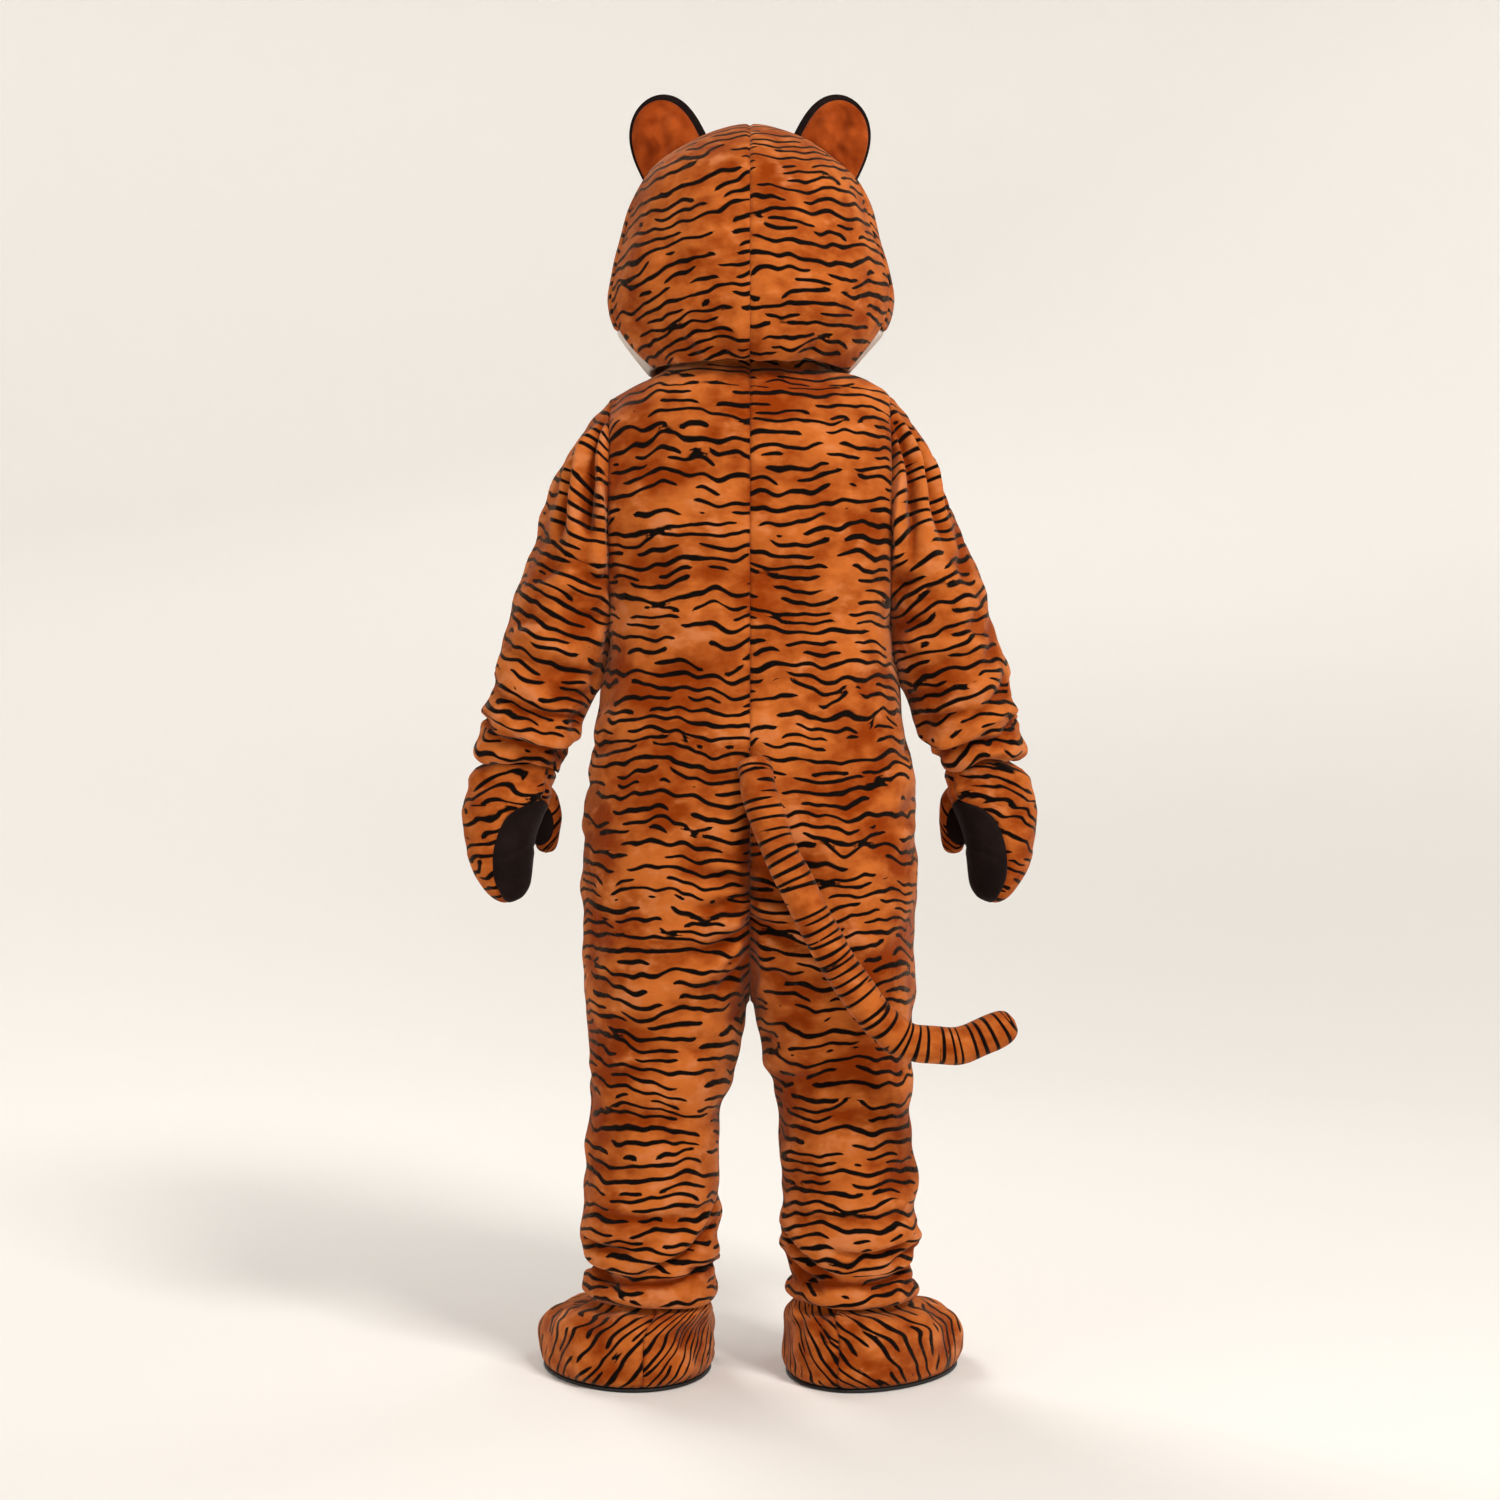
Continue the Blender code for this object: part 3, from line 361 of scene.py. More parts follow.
# Legs: across is measured round from the leg's centre back, + to its outer side
LEG_FOLDS = {
    "left": (
        (0.000, 0.131, 0, 0.900, 0.0120, 0.0050, 0.0),
        (0.000, 0.153, 0, 0.210, 0.0060, -0.0100, 0.34),
        (0.094, 0.166, 22, 0.100, 0.0060, -0.0100, 0.0),
        (-0.050, 0.216, -25, 0.170, 0.0130, 0.0100, 0.1),
        (-0.052, 0.194, -24, 0.160, 0.0060, -0.0110, 0.1),
        (0.062, 0.182, 9, 0.110, 0.0117, 0.0080, 0.0),
        (0.076, 0.204, 8, 0.110, 0.0060, -0.0080, 0.0),
        (0.070, 0.226, -3, 0.150, 0.0143, 0.0060, 0.0),
        (-0.010, 0.172, 3, 0.110, 0.0091, 0.0070, 0.0),
        (-0.110, 0.170, 5, 0.090, 0.0060, -0.0090, 0.0),
        (-0.116, 0.190, -8, 0.080, 0.0117, 0.0070, 0.0),
        (-0.104, 0.238, -34, 0.080, 0.0070, -0.0070, 0.0),
        (0.030, 0.247, 4, 0.150, 0.0090, -0.0044, 0.2),
        (-0.030, 0.268, -5, 0.160, 0.0120, 0.0040, 0.0),
        # the leg above
        (0.060, 0.318, 7, 0.140, 0.0120, -0.0032, 0.1),
        (-0.050, 0.345, -9, 0.150, 0.0130, 0.0034, 0.0),
        (0.020, 0.392, 4, 0.170, 0.0130, -0.0032, 0.1),
        (-0.070, 0.438, 12, 0.120, 0.0110, 0.0034, 0.0),
        (0.070, 0.470, -7, 0.140, 0.0120, 0.0030, 0.0),
        (-0.090, 0.478, 24, 0.120, 0.0090, -0.0044, 0.0),
        (-0.090, 0.516, 33, 0.120, 0.0100, 0.0046, 0.0),
        # its sides and front
        (0.200, 0.160, -8, 0.150, 0.0060, -0.0100, 0.0),
        (0.240, 0.184, 12, 0.150, 0.0117, 0.0090, 0.0),
        (0.200, 0.208, 14, 0.150, 0.0060, -0.0090, 0.0),
        (0.290, 0.222, -12, 0.160, 0.0117, 0.0080, 0.0),
        (-0.230, 0.158, 9, 0.160, 0.0060, -0.0100, 0.0),
        (-0.210, 0.184, -12, 0.150, 0.0117, 0.0090, 0.0),
        (-0.250, 0.206, -5, 0.150, 0.0060, -0.0090, 0.0),
        (-0.200, 0.240, 14, 0.140, 0.0143, 0.0060, 0.0),
        (0.280, 0.300, 9, 0.170, 0.0120, -0.0040, 0.0),
        (-0.280, 0.330, -9, 0.170, 0.0120, 0.0038, 0.0),
        (0.270, 0.410, -11, 0.170, 0.0130, 0.0038, 0.0),
        (-0.250, 0.450, 14, 0.150, 0.0110, -0.0040, 0.0),
    ),
    "right": (
        (0.000, 0.131, 0, 0.900, 0.0120, 0.0050, 0.0),
        (0.010, 0.152, 3, 0.220, 0.0060, -0.0100, 0.30),
        (-0.090, 0.160, -26, 0.100, 0.0060, -0.0100, 0.0),
        (-0.076, 0.214, -29, 0.150, 0.0130, 0.0100, 0.1),
        (-0.088, 0.196, -30, 0.140, 0.0060, -0.0110, 0.0),
        (0.030, 0.199, 2, 0.140, 0.0065, -0.0080, 0.42),
        (0.024, 0.220, 4, 0.150, 0.0143, 0.0070, 0.2),
        (0.070, 0.178, 9, 0.110, 0.0104, 0.0080, 0.0),
        (0.010, 0.176, -12, 0.110, 0.0097, 0.0080, 0.0),
        (0.098, 0.190, 12, 0.090, 0.0060, -0.0100, 0.0),
        (0.104, 0.218, -6, 0.090, 0.0143, 0.0070, 0.0),
        (-0.010, 0.246, -4, 0.160, 0.0090, -0.0046, 0.2),
        (0.050, 0.268, 5, 0.140, 0.0120, 0.0042, 0.0),
        (-0.080, 0.262, -9, 0.090, 0.0090, 0.0042, 0.0),
        # the leg above
        (0.060, 0.322, -6, 0.150, 0.0120, -0.0032, 0.1),
        (-0.060, 0.350, 8, 0.140, 0.0130, 0.0034, 0.0),
        (0.010, 0.400, -5, 0.170, 0.0130, -0.0032, 0.1),
        (0.070, 0.440, 7, 0.130, 0.0120, 0.0034, 0.0),
        (-0.084, 0.446, 10, 0.120, 0.0090, -0.0036, 0.0),
        (-0.090, 0.486, 25, 0.120, 0.0090, 0.0046, 0.0),
        (-0.090, 0.522, 34, 0.120, 0.0080, -0.0046, 0.0),
        # its sides and front
        (0.210, 0.158, 8, 0.150, 0.0060, -0.0100, 0.0),
        (0.230, 0.186, -12, 0.150, 0.0117, 0.0090, 0.0),
        (0.210, 0.212, -10, 0.150, 0.0060, -0.0090, 0.0),
        (0.280, 0.230, 12, 0.160, 0.0130, 0.0080, 0.0),
        (-0.220, 0.160, -9, 0.160, 0.0060, -0.0100, 0.0),
        (-0.230, 0.186, 11, 0.150, 0.0117, 0.0090, 0.0),
        (-0.240, 0.210, 6, 0.150, 0.0060, -0.0090, 0.0),
        (-0.190, 0.242, -14, 0.140, 0.0143, 0.0060, 0.0),
        (0.270, 0.310, -9, 0.170, 0.0120, -0.0040, 0.0),
        (-0.280, 0.340, 9, 0.170, 0.0120, 0.0038, 0.0),
        (0.280, 0.420, 10, 0.170, 0.0130, 0.0038, 0.0),
        (-0.250, 0.460, -13, 0.150, 0.0110, -0.0040, 0.0),
    ),
}
LEG_CENTRE = 0.148
LEG_RADIUS = 0.10
ROLL = 0.0105  # the most that a fold stands proud; its top is rounded off towards this

# Sleeves: across is measured round from the back of the arm, + to its outer side, and up
# runs down the arm from the shoulder
SLEEVE_FOLDS = {
    "left": (
        (0.018, 0.128, 108, 0.210, 0.0085, 0.0115, 0.0),
        (0.0315, 0.132, 106, 0.190, 0.0060, -0.0108, 0.0),
        (0.044, 0.146, 104, 0.170, 0.0090, 0.0108, 0.05),
        (0.056, 0.168, 100, 0.120, 0.0070, -0.0068, 0.0),
        (0.068, 0.150, 98, 0.120, 0.0110, 0.0054, 0.0),
        (-0.006, 0.236, 118, 0.070, 0.0080, 0.0059, 0.0),
        (-0.020, 0.262, 24, 0.070, 0.0060, -0.0044, 0.0),
        (-0.010, 0.284, 10, 0.080, 0.0090, 0.0044, 0.0),
        (0.040, 0.276, 38, 0.090, 0.0080, -0.0036, 0.0),
        (0.060, 0.304, 30, 0.100, 0.0110, 0.0036, 0.0),
        (-0.030, 0.318, 14, 0.080, 0.0070, -0.0040, 0.0),
        (0.030, 0.348, 16, 0.110, 0.0090, -0.0034, 0.0),
        (0.010, 0.376, -6, 0.120, 0.0120, 0.0040, 0.0),
        (0.060, 0.404, -14, 0.100, 0.0080, -0.0040, 0.0),
        (-0.040, 0.404, 12, 0.090, 0.0080, -0.0040, 0.0),
    ),
    "right": (
        (0.017, 0.132, 108, 0.200, 0.0085, 0.0108, 0.0),
        (0.0305, 0.140, 105, 0.190, 0.0060, -0.0115, 0.05),
        (0.044, 0.132, 103, 0.200, 0.0090, 0.0115, 0.0),
        (0.058, 0.140, 99, 0.160, 0.0065, -0.0088, 0.0),
        (0.072, 0.136, 97, 0.150, 0.0100, 0.0074, 0.0),
        (0.086, 0.144, 94, 0.110, 0.0070, -0.0054, 0.0),
        (-0.008, 0.244, 60, 0.070, 0.0080, 0.0040, 0.0),
        (-0.024, 0.270, 10, 0.070, 0.0060, -0.0044, 0.0),
        (0.010, 0.290, -8, 0.090, 0.0090, 0.0040, 0.0),
        (0.064, 0.268, 34, 0.090, 0.0080, -0.0036, 0.0),
        (-0.030, 0.330, 8, 0.080, 0.0070, -0.0040, 0.0),
        (0.070, 0.330, 44, 0.090, 0.0090, 0.0040, 0.0),
        (0.020, 0.356, 10, 0.110, 0.0090, -0.0034, 0.0),
        (0.050, 0.388, 6, 0.120, 0.0120, 0.0040, 0.0),
        (-0.020, 0.398, -8, 0.110, 0.0080, -0.0044, 0.0),
    ),
}
# The bunched cuff and the hidden front of either sleeve
CUFF_FOLDS = (
    (-0.134, 0.352, 90, 0.140, 0.0350, 0.0036, 0.0),
    (0.000, 0.546, 2, 0.300, 0.0100, 0.0046, 0.0),
    (0.260, 0.546, -2, 0.300, 0.0100, 0.0046, 0.0),
    (0.000, 0.524, 8, 0.130, 0.0060, -0.0080, 0.2),
    (0.090, 0.518, -16, 0.120, 0.0060, -0.0080, 0.0),
    (-0.090, 0.522, -8, 0.110, 0.0060, -0.0080, 0.0),
    (0.010, 0.502, -10, 0.140, 0.0108, 0.0080, 0.1),
    (0.100, 0.496, 14, 0.110, 0.0108, 0.0070, 0.0),
    (-0.080, 0.494, 16, 0.100, 0.0096, 0.0070, 0.0),
    (0.040, 0.478, -20, 0.130, 0.0065, -0.0070, 0.1),
    (-0.040, 0.470, 8, 0.110, 0.0065, -0.0060, 0.0),
    (0.020, 0.452, -8, 0.150, 0.0132, 0.0056, 0.0),
    (0.100, 0.450, 10, 0.100, 0.0080, -0.0044, 0.0),
    (-0.060, 0.432, 12, 0.110, 0.0090, -0.0044, 0.0),
    (0.190, 0.520, 10, 0.140, 0.0060, -0.0080, 0.0),
    (0.220, 0.498, -12, 0.150, 0.0108, 0.0080, 0.0),
    (0.180, 0.474, 8, 0.130, 0.0065, -0.0070, 0.0),
    (-0.190, 0.520, -10, 0.130, 0.0060, -0.0080, 0.0),
    (0.230, 0.450, -8, 0.150, 0.0120, 0.0050, 0.0),
    (0.249, 0.128, 72, 0.200, 0.0085, 0.0080, 0.0),
    (0.235, 0.134, 74, 0.180, 0.0060, -0.0080, 0.0),
    (0.222, 0.146, 76, 0.170, 0.0090, 0.0080, 0.0),
    (0.206, 0.160, 80, 0.120, 0.0070, -0.0050, 0.0),
    (0.240, 0.300, -12, 0.120, 0.0090, -0.0044, 0.0),
    (0.220, 0.330, -24, 0.110, 0.0100, 0.0044, 0.0),
    (0.250, 0.370, 8, 0.120, 0.0090, -0.0040, 0.0),
)

# Head: across is measured round from the centre back, up is the height
HEAD_FOLDS = (
    (0.050, 1.500, 62, 0.050, 0.0070, -0.0030, 0.0),
    (0.082, 1.502, 66, 0.050, 0.0080, 0.0034, 0.0),
    (0.110, 1.504, 60, 0.050, 0.0070, -0.0030, 0.0),
    (0.016, 1.503, 80, 0.050, 0.0080, 0.0030, 0.0),
    (-0.018, 1.502, 96, 0.050, 0.0080, 0.0030, 0.0),
    (-0.052, 1.500, 112, 0.050, 0.0070, -0.0030, 0.0),
    (-0.080, 1.503, 118, 0.050, 0.0080, 0.0034, 0.0),
    (-0.116, 1.504, 116, 0.050, 0.0070, -0.0030, 0.0),
    (0.070, 1.560, -12, 0.120, 0.0140, 0.0030, 0.1),
    (-0.080, 1.556, 12, 0.130, 0.0150, 0.0030, 0.1),
    (0.130, 1.640, 40, 0.100, 0.0130, -0.0024, 0.0),
    (-0.140, 1.640, 136, 0.100, 0.0130, -0.0024, 0.0),
    (0.060, 1.720, -8, 0.110, 0.0140, -0.0022, 0.0),
    (-0.060, 1.730, 8, 0.110, 0.0140, -0.0022, 0.0),
)

# Ears: across runs over the ear and up along it, from the middle of its base
EAR_FOLDS = (
    (0.006, 0.046, 62, 0.080, 0.0100, -0.0062, 0.1),
    (-0.020, 0.044, 108, 0.074, 0.0120, 0.0050, 0.0),
    (0.028, 0.038, 40, 0.064, 0.0090, 0.0054, 0.0),
    (-0.006, 0.018, 12, 0.064, 0.0080, -0.0050, 0.3),
    (0.016, 0.066, 20, 0.056, 0.0080, -0.0048, 0.0),
    (0.034, 0.056, 120, 0.040, 0.0060, -0.0040, 0.0),
    (-0.034, 0.024, 58, 0.050, 0.0080, -0.0046, 0.0),
    (-0.012, 0.072, 150, 0.050, 0.0090, 0.0040, 0.0),
)

# Mitts: across is the distance from the middle of the body, up the height
MITT_BACK_FOLDS = (
    (0.3560, 0.885, 90, 0.110, 0.0034, -0.0036, 0.0),
    (0.3300, 0.896, 8, 0.090, 0.0070, 0.0044, 0.1),
    (0.3240, 0.880, 14, 0.080, 0.0045, -0.0040, 0.0),
    (0.3900, 0.890, -20, 0.060, 0.0070, 0.0044, 0.0),
    (0.3860, 0.874, -14, 0.060, 0.0045, -0.0034, 0.0),
    (0.3380, 0.864, -8, 0.070, 0.0070, 0.0030, 0.0),
    (0.4000, 0.846, -26, 0.060, 0.0080, 0.0030, 0.0),
    (0.3960, 0.820, -20, 0.060, 0.0060, -0.0024, 0.0),
    (0.4040, 0.780, -40, 0.060, 0.0080, 0.0024, 0.0),
    (0.3100, 0.868, 60, 0.040, 0.0040, -0.0030, 0.0),
)
PALM_FOLDS = (
    (0.3420, 0.776, -20, 0.056, 0.0024, -0.0022, -0.3),
    (0.3420, 0.768, -20, 0.050, 0.0050, 0.0012, -0.3),
    (0.3560, 0.820, 62, 0.050, 0.0060, 0.0010, 0.0),
)

# Tail: across is measured round it, up runs along it
TAIL_FOLDS = (
    (0.000, 0.020, 0, 0.200, 0.0050, -0.0014, 0.0),
    (0.020, 0.395, 10, 0.050, 0.0040, -0.0020, 0.0),
    (0.024, 0.412, -6, 0.050, 0.0050, 0.0018, 0.0),
    (0.020, 0.430, 8, 0.060, 0.0040, -0.0022, 0.0),
    (0.022, 0.450, 0, 0.060, 0.0050, 0.0018, 0.0),
    (0.018, 0.470, -10, 0.050, 0.0040, -0.0020, 0.0),
    (-0.040, 0.250, 24, 0.060, 0.0050, -0.0016, 0.0),
    (-0.030, 0.272, 14, 0.060, 0.0060, 0.0014, 0.0),
)


# ---------------------------------------------------------------- arithmetic on arrays


def smooth(keys, values, at):
    """A monotone cubic through the table: each inner slope is the weighted harmonic mean
    of its two neighbours, or nought where the values turn."""
    step = np.diff(keys)
    slope = np.diff(values) / step
    before, after = slope[:-1], slope[1:]
    heavy, light = 2 * step[1:] + step[:-1], step[1:] + 2 * step[:-1]
    rising = before * after > 0
    safe_before = np.where(rising, before, 1.0)
    safe_after = np.where(rising, after, 1.0)
    mean = (heavy + light) / (heavy / safe_before + light / safe_after)
    tangent = np.concatenate([slope[:1], np.where(rising, mean, 0.0), slope[-1:]])
    at = np.clip(at, keys[0], keys[-1])
    row = np.clip(np.searchsorted(keys, at, side="right") - 1, 0, len(step) - 1)
    t = (at - keys[row]) / step[row]
    rise = step[row] * (tangent[row] * t * (1 - t) ** 2 - tangent[row + 1] * t**2 * (1 - t))
    return values[row] * (1 + 2 * t) * (1 - t) ** 2 + values[row + 1] * t**2 * (3 - 2 * t) + rise


def read(columns, key, names, at):
    """The named columns of a table at the keys `at`."""
    return [smooth(columns[key], columns[name], at) for name in names.split()]


def by_row(columns, names, at):
    """The named columns of a table at the row numbers `at`."""
    rows = np.arange(len(next(iter(columns.values()))), dtype=float)
    return [smooth(rows, columns[name], at) for name in names.split()]


def stack(x, y, z):
    return np.stack(np.broadcast_arrays(x, y, z), axis=-1)


def unit(vectors):
    return vectors / np.maximum(np.linalg.norm(vectors, axis=-1, keepdims=True), 1e-12)


def grid(across, along):
    return np.meshgrid(across, along, indexing="ij")


def power(values, exponent):
    return np.sign(values) * np.abs(values) ** exponent


def ease(values, start, stop):
    """Nought at start, one at stop, with the smoothstep 3t2 - 2t3 between."""
    t = np.clip((values - start) / (stop - start), 0, 1)
    return t * t * (3 - 2 * t)


def spaced(count, crowding=0.6):
    """Values from 0 to 1, closer at both ends: t less a share of the sine of its turn."""
    t = np.linspace(0, 1, count)
    return t - crowding * np.sin(2 * np.pi * t) / (2 * np.pi)


def towards_one(count, start=0):
    """Values from `start`, as a share of a right angle, to 1, closer at the end: a sine."""
    return np.sin(np.linspace(start * np.pi / 2, np.pi / 2, count))


def bunched(count):
    """Values from 0 to 1, closer at both ends: a half turn of a cosine."""
    return 0.5 - 0.5 * np.cos(np.pi * np.linspace(0, 1, count))


def stepped(steps):
    """Values in runs, each from a start to a stop at about its own step."""
    runs = [
        np.linspace(start, stop, max(2, round((stop - start) / step)), endpoint=False)
        for start, stop, step in steps
    ]
    return np.append(np.concatenate(runs), steps[-1][1])


def run(points, axis):
    """The length along one axis of a grid of points, from its first row or column."""
    length = np.linalg.norm(np.diff(points, axis=axis), axis=-1)
    start = np.zeros_like(np.take(length, [0], axis=axis))
    return np.cumsum(np.concatenate([start, length], axis=axis), axis=axis)


def folds(rows, across, up, around=None):
    """Sum of the rows' folds: depth x a bell across x a flat-topped bell along.

    A fold's middle line is a shallow parabola where it bends. `around` is the length after
    which a chart that goes round meets itself.
    """
    total = np.zeros_like(across)
    for at_across, at_up, angle, length, width, depth, bend in rows:
        aside, above = across - at_across, up - at_up
        if around:
            aside = np.mod(aside + around / 2, around) - around / 2
        cosine, sine = np.cos(np.radians(angle)), np.sin(np.radians(angle))
        along = aside * cosine + above * sine
        off = above * cosine - aside * sine - bend * along**2 / length
        total += depth * np.exp(-((off / width) ** 2) - (2 * along / length) ** 4)
    return total


def ripple(points, size, height, seed, flat=1.0):
    """Soft unevenness: the mean of twelve sine waves of about one size, in seeded ways.

    `flat` above one makes the waves longer across than they are high.
    """
    ways = np.random.default_rng(seed).normal(size=(12, 3))
    shifts = np.random.default_rng(seed + 1).uniform(0, 2 * np.pi, 12)
    total = np.zeros(points.shape[:-1])
    for way, shift in zip(ways, shifts):
        way = way / np.linalg.norm(way) * (1 / flat, 1 / flat, 1.0)
        total += np.sin(points @ way * 2 * np.pi / size + shift)
    return total * height / np.sqrt(6)


# ---------------------------------------------------------------- meshes


def weld(mesh):
    """Merges the points of a pole."""
    work = bmesh.new()
    work.from_mesh(mesh)
    bmesh.ops.remove_doubles(work, verts=work.verts, dist=1e-6)
    work.to_mesh(mesh)
    work.free()


RIDGE_FULL = 0.006  # of a fold's relief, at which the painted highlight on a ridge, and the painted shade in a trough, are full


def mark_ridges(made, height):
    """Keeps the relief of a wall's two faces as an attribute, from -1 to 1, from which the finish
    paints a highlight on ridges and shade in troughs.

    A wall with a welded pole has fewer points than its grids, so it gets none, and its
    finish then reads nought.
    """
    ridge = np.clip(height / RIDGE_FULL, -1, 1).ravel()
    if len(made.data.vertices) == 2 * ridge.size:
        stored = made.data.attributes.new("ridge", "FLOAT", "POINT")
        stored.data.foreach_set("value", np.tile(ridge, 2).astype(np.float32))


def add_mesh(name, points, quads, chart, welded):
    """One mesh of quads with its chart, in metres of cloth, as the UV map "cloth"."""
    mesh = bpy.data.meshes.new(name)
    lowered = points - (0, 0, HOLD_HEIGHT)
    mesh.vertices.add(len(lowered))
    mesh.vertices.foreach_set("co", lowered.astype(np.float32).ravel())
    mesh.loops.add(quads.size)
    mesh.loops.foreach_set("vertex_index", quads.astype(np.int32).ravel())
    mesh.polygons.add(len(quads))
    mesh.polygons.foreach_set("loop_start", np.arange(0, quads.size, 4, dtype=np.int32))
    mesh.update(calc_edges=True)
    mesh.uv_layers.new(name="cloth").data.foreach_set("uv", chart.astype(np.float32).ravel())
    mesh.shade_smooth()
    if welded:
        weld(mesh)
    mesh.validate()
    made = bpy.data.objects.new(name, mesh)
    bpy.context.scene.collection.objects.link(made)
    return made


def cells(index):
    """The quads between neighbours in a grid of point numbers."""
    corners = [index[:-1, :-1], index[1:, :-1], index[1:, 1:], index[:-1, 1:]]
    return np.stack(corners, -1).reshape(-1, 4)


def closed_sheet(name, points):
    """One mesh from rings of points, whose last column joins its first."""
    index = np.arange(points.shape[0] * points.shape[1]).reshape(points.shape[:2])
    quads = cells(np.concatenate([index, index[:1]]))
    points = points.reshape(-1, 3)
    return add_mesh(name, points, quads, points[quads][..., :2], True)


def wall(name, outer, inner, chart, ring=False, poles=(False, False)):
    """The closed shell between two grids of points, with its open edges joined.

    A ring's last column joins its first, and a pole is a row drawn together to one point.
    Faces turn away from the inner grid.
    """
    columns, rows = outer.shape[:2]
    index = np.arange(columns * rows).reshape(columns, rows)
    if ring:
        index = np.concatenate([index, index[:1]])
    place = np.arange(chart.shape[0] * rows).reshape(-1, rows)

    def strip(g, other):
        return np.stack([g[1:], g[:-1], other[:-1], other[1:]], -1)

    below = index + columns * rows
    quads, spots = [cells(index), cells(below)[:, ::-1]], [cells(place), cells(place)[:, ::-1]]
    edges = [] if poles[0] else [np.s_[:, 0]]
    edges += [] if poles[1] else [np.s_[::-1, -1]]
    edges += [] if ring else [np.s_[0, ::-1], np.s_[-1, :]]
    for edge in edges:
        quads.append(strip(index[edge], below[edge]))
        spots.append(strip(place[edge], place[edge]))
    quads, spots = np.concatenate(quads), np.concatenate(spots)
    cross = np.cross(outer[1:, :-1] - outer[:-1, :-1], outer[:-1, 1:] - outer[:-1, :-1])
    if (cross * (outer - inner)[:-1, :-1]).sum() < 0:
        quads, spots = quads[:, ::-1], spots[:, ::-1]
    points = np.concatenate([outer.reshape(-1, 3), inner.reshape(-1, 3)])
    return add_mesh(name, points, quads, chart.reshape(-1, 2)[spots], poles[0] or poles[1])


def normals_of(points, ring, poles, tips):
    """Unit normals of a grid from its differences, turned away from its middle."""
    if ring:
        round_about = np.concatenate([points[-1:], points, points[:1]])
        along_u = (round_about[2:] - round_about[:-2]) / 2
    else:
        along_u = np.gradient(points, axis=0)
    normals = unit(np.cross(along_u, np.gradient(points, axis=1)))
    middle = points.reshape(-1, 3).mean(axis=0)
    normals = normals * np.sign((normals * (points - middle)).sum())
    for row, near, poled in ((0, 1, poles[0]), (-1, -2, poles[1])):
        if poled:
            tip = unit(normals[:, near].mean(axis=0)) if tips[row] is None else tips[row]
            normals[:, row] = tip
    return normals


def from_edges(points, ring, poles):
    """How far each point of a grid is from each of its edges, as seams and hems see it."""
    far = np.full(points.shape[:2], 1.0)
    along, across = run(points, 1), run(points, 0)
    return {
        "low": far if poles[0] else along,
        "high": far if poles[1] else along[:, -1:] - along,
        "first": far if ring else across,
        "last": far if ring else across[-1:] - across,
    }


def hem_round(distance, radius):
    """How far a wall's face draws back beside a free edge, as a quarter circle."""
    t = 1 - np.clip(distance / radius, 0, 1)
    return radius * (1 - np.sqrt(np.maximum(1 - t * t, 0)))


def cloth(node, slot, points, chart, relief, held="hung", **shape):
    """Adds a panel of cloth: the grid's points moved out by their relief, and a wall in.

    seams and hems name its edges. A seam is drawn in as a bell, and a hem is rounded off.
    sag lowers what stands proud, so that folds hang over. free is the share of the move
    that may go across the costume, nought beside a seam that lies in an upright plane.
    hangs_from is the edge from which the chart grows by the cloth taken up in the folds, as
    the mean of its columns. The relief is kept as the attribute "ridge", from which the
    finish paints a highlight on ridges and shade in troughs.
    The flat size and area are the grid's before its relief: its longest row and its
    longest column, where a ring's row leaves out the step back to its start.
    """
    sizes = bpy.context.scene.costume_sizes
    thick = shape.get("thick", PLUSH)
    ring, poles = shape.get("ring", False), shape.get("poles", (False, False))
    normals = normals_of(points, ring, poles, shape.get("tips", (None, None)))
    near = from_edges(points, ring, poles)
    height = relief.copy()
    for edge in shape.get("seams", ()):
        height -= sizes.seam_depth * np.exp(-((near[edge] / sizes.seam_width) ** 2))
    back = np.zeros_like(height)
    for edge in shape.get("hems", ()):
        height -= hem_round(near[edge], thick / 2)
        back += hem_round(near[edge], thick / 2)
    drop = shape.get("sag", 0.0) * np.maximum(height, 0)
    move = normals * height[..., None] - stack(0, 0, drop)
    outer = points + move * stack(shape.get("free", 1.0), 1.0, 1.0)
    inner = outer - normals * (thick - back)[..., None]
    if "hangs_from" in shape:
        spare = (run(outer, 1) - run(points, 1)).mean(axis=0)
        spare = spare - spare[-1] if shape["hangs_from"] == "high" else spare
        chart = chart + stack(0, spare, 0)[..., :2]
    keep = shape.get("keep", lambda grid_points: grid_points)
    made = wall(node + "_cloth", keep(outer), keep(inner), chart, ring, poles)
    mark_ridges(made, height)
    flat = (float(run(points, 0)[-1].max()), float(run(points, 1)[:, -1].max()))
    finish_piece(made, node, slot, flat, area_of(points, ring), held)


def area_of(points, ring):
    """The area of a grid, as the lengths of the cross products of its cells' diagonals."""
    if ring:
        points = np.concatenate([points, points[:1]])
    one, other = points[1:, 1:] - points[:-1, :-1], points[:-1, 1:] - points[1:, :-1]
    return float(np.linalg.norm(np.cross(one, other), axis=-1).sum() / 2)


def oval_cut(points):
    """The flat size and area of an oval patch, measured straight across its rim."""
    rim = points[:, -1]
    quarter = len(rim) // 4
    width = float(np.linalg.norm(rim[0] - rim[2 * quarter]))
    length = float(np.linalg.norm(rim[quarter] - rim[3 * quarter]))
    return (width, length), width * length * np.pi / 4


def on_cloth(name, across, up, side=0.0):
    """A piece's chart, moved to where the piece is cut from the printed cloth."""
    from_across, aside, from_up, above = CUT_FROM[name]
    return np.stack([across + from_across + aside * side, up + from_up + above * side], axis=-1)


def kept_beyond(side, least):
    """Keeps a panel's points at least this far out on their own side."""

    def keep(points):
        x = np.maximum(side * points[..., 0], least)
        return stack(side * x, points[..., 1], points[..., 2])

    return keep


def finish_piece(made, node, slot, flat=None, area=None, held="hung"):
    """Gives a piece its material, joins it to the root body and hides the frame's part that it
    stands for.
    """
    made.data.materials.append(finish_named(slot))
    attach(made, "root")
    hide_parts(node)


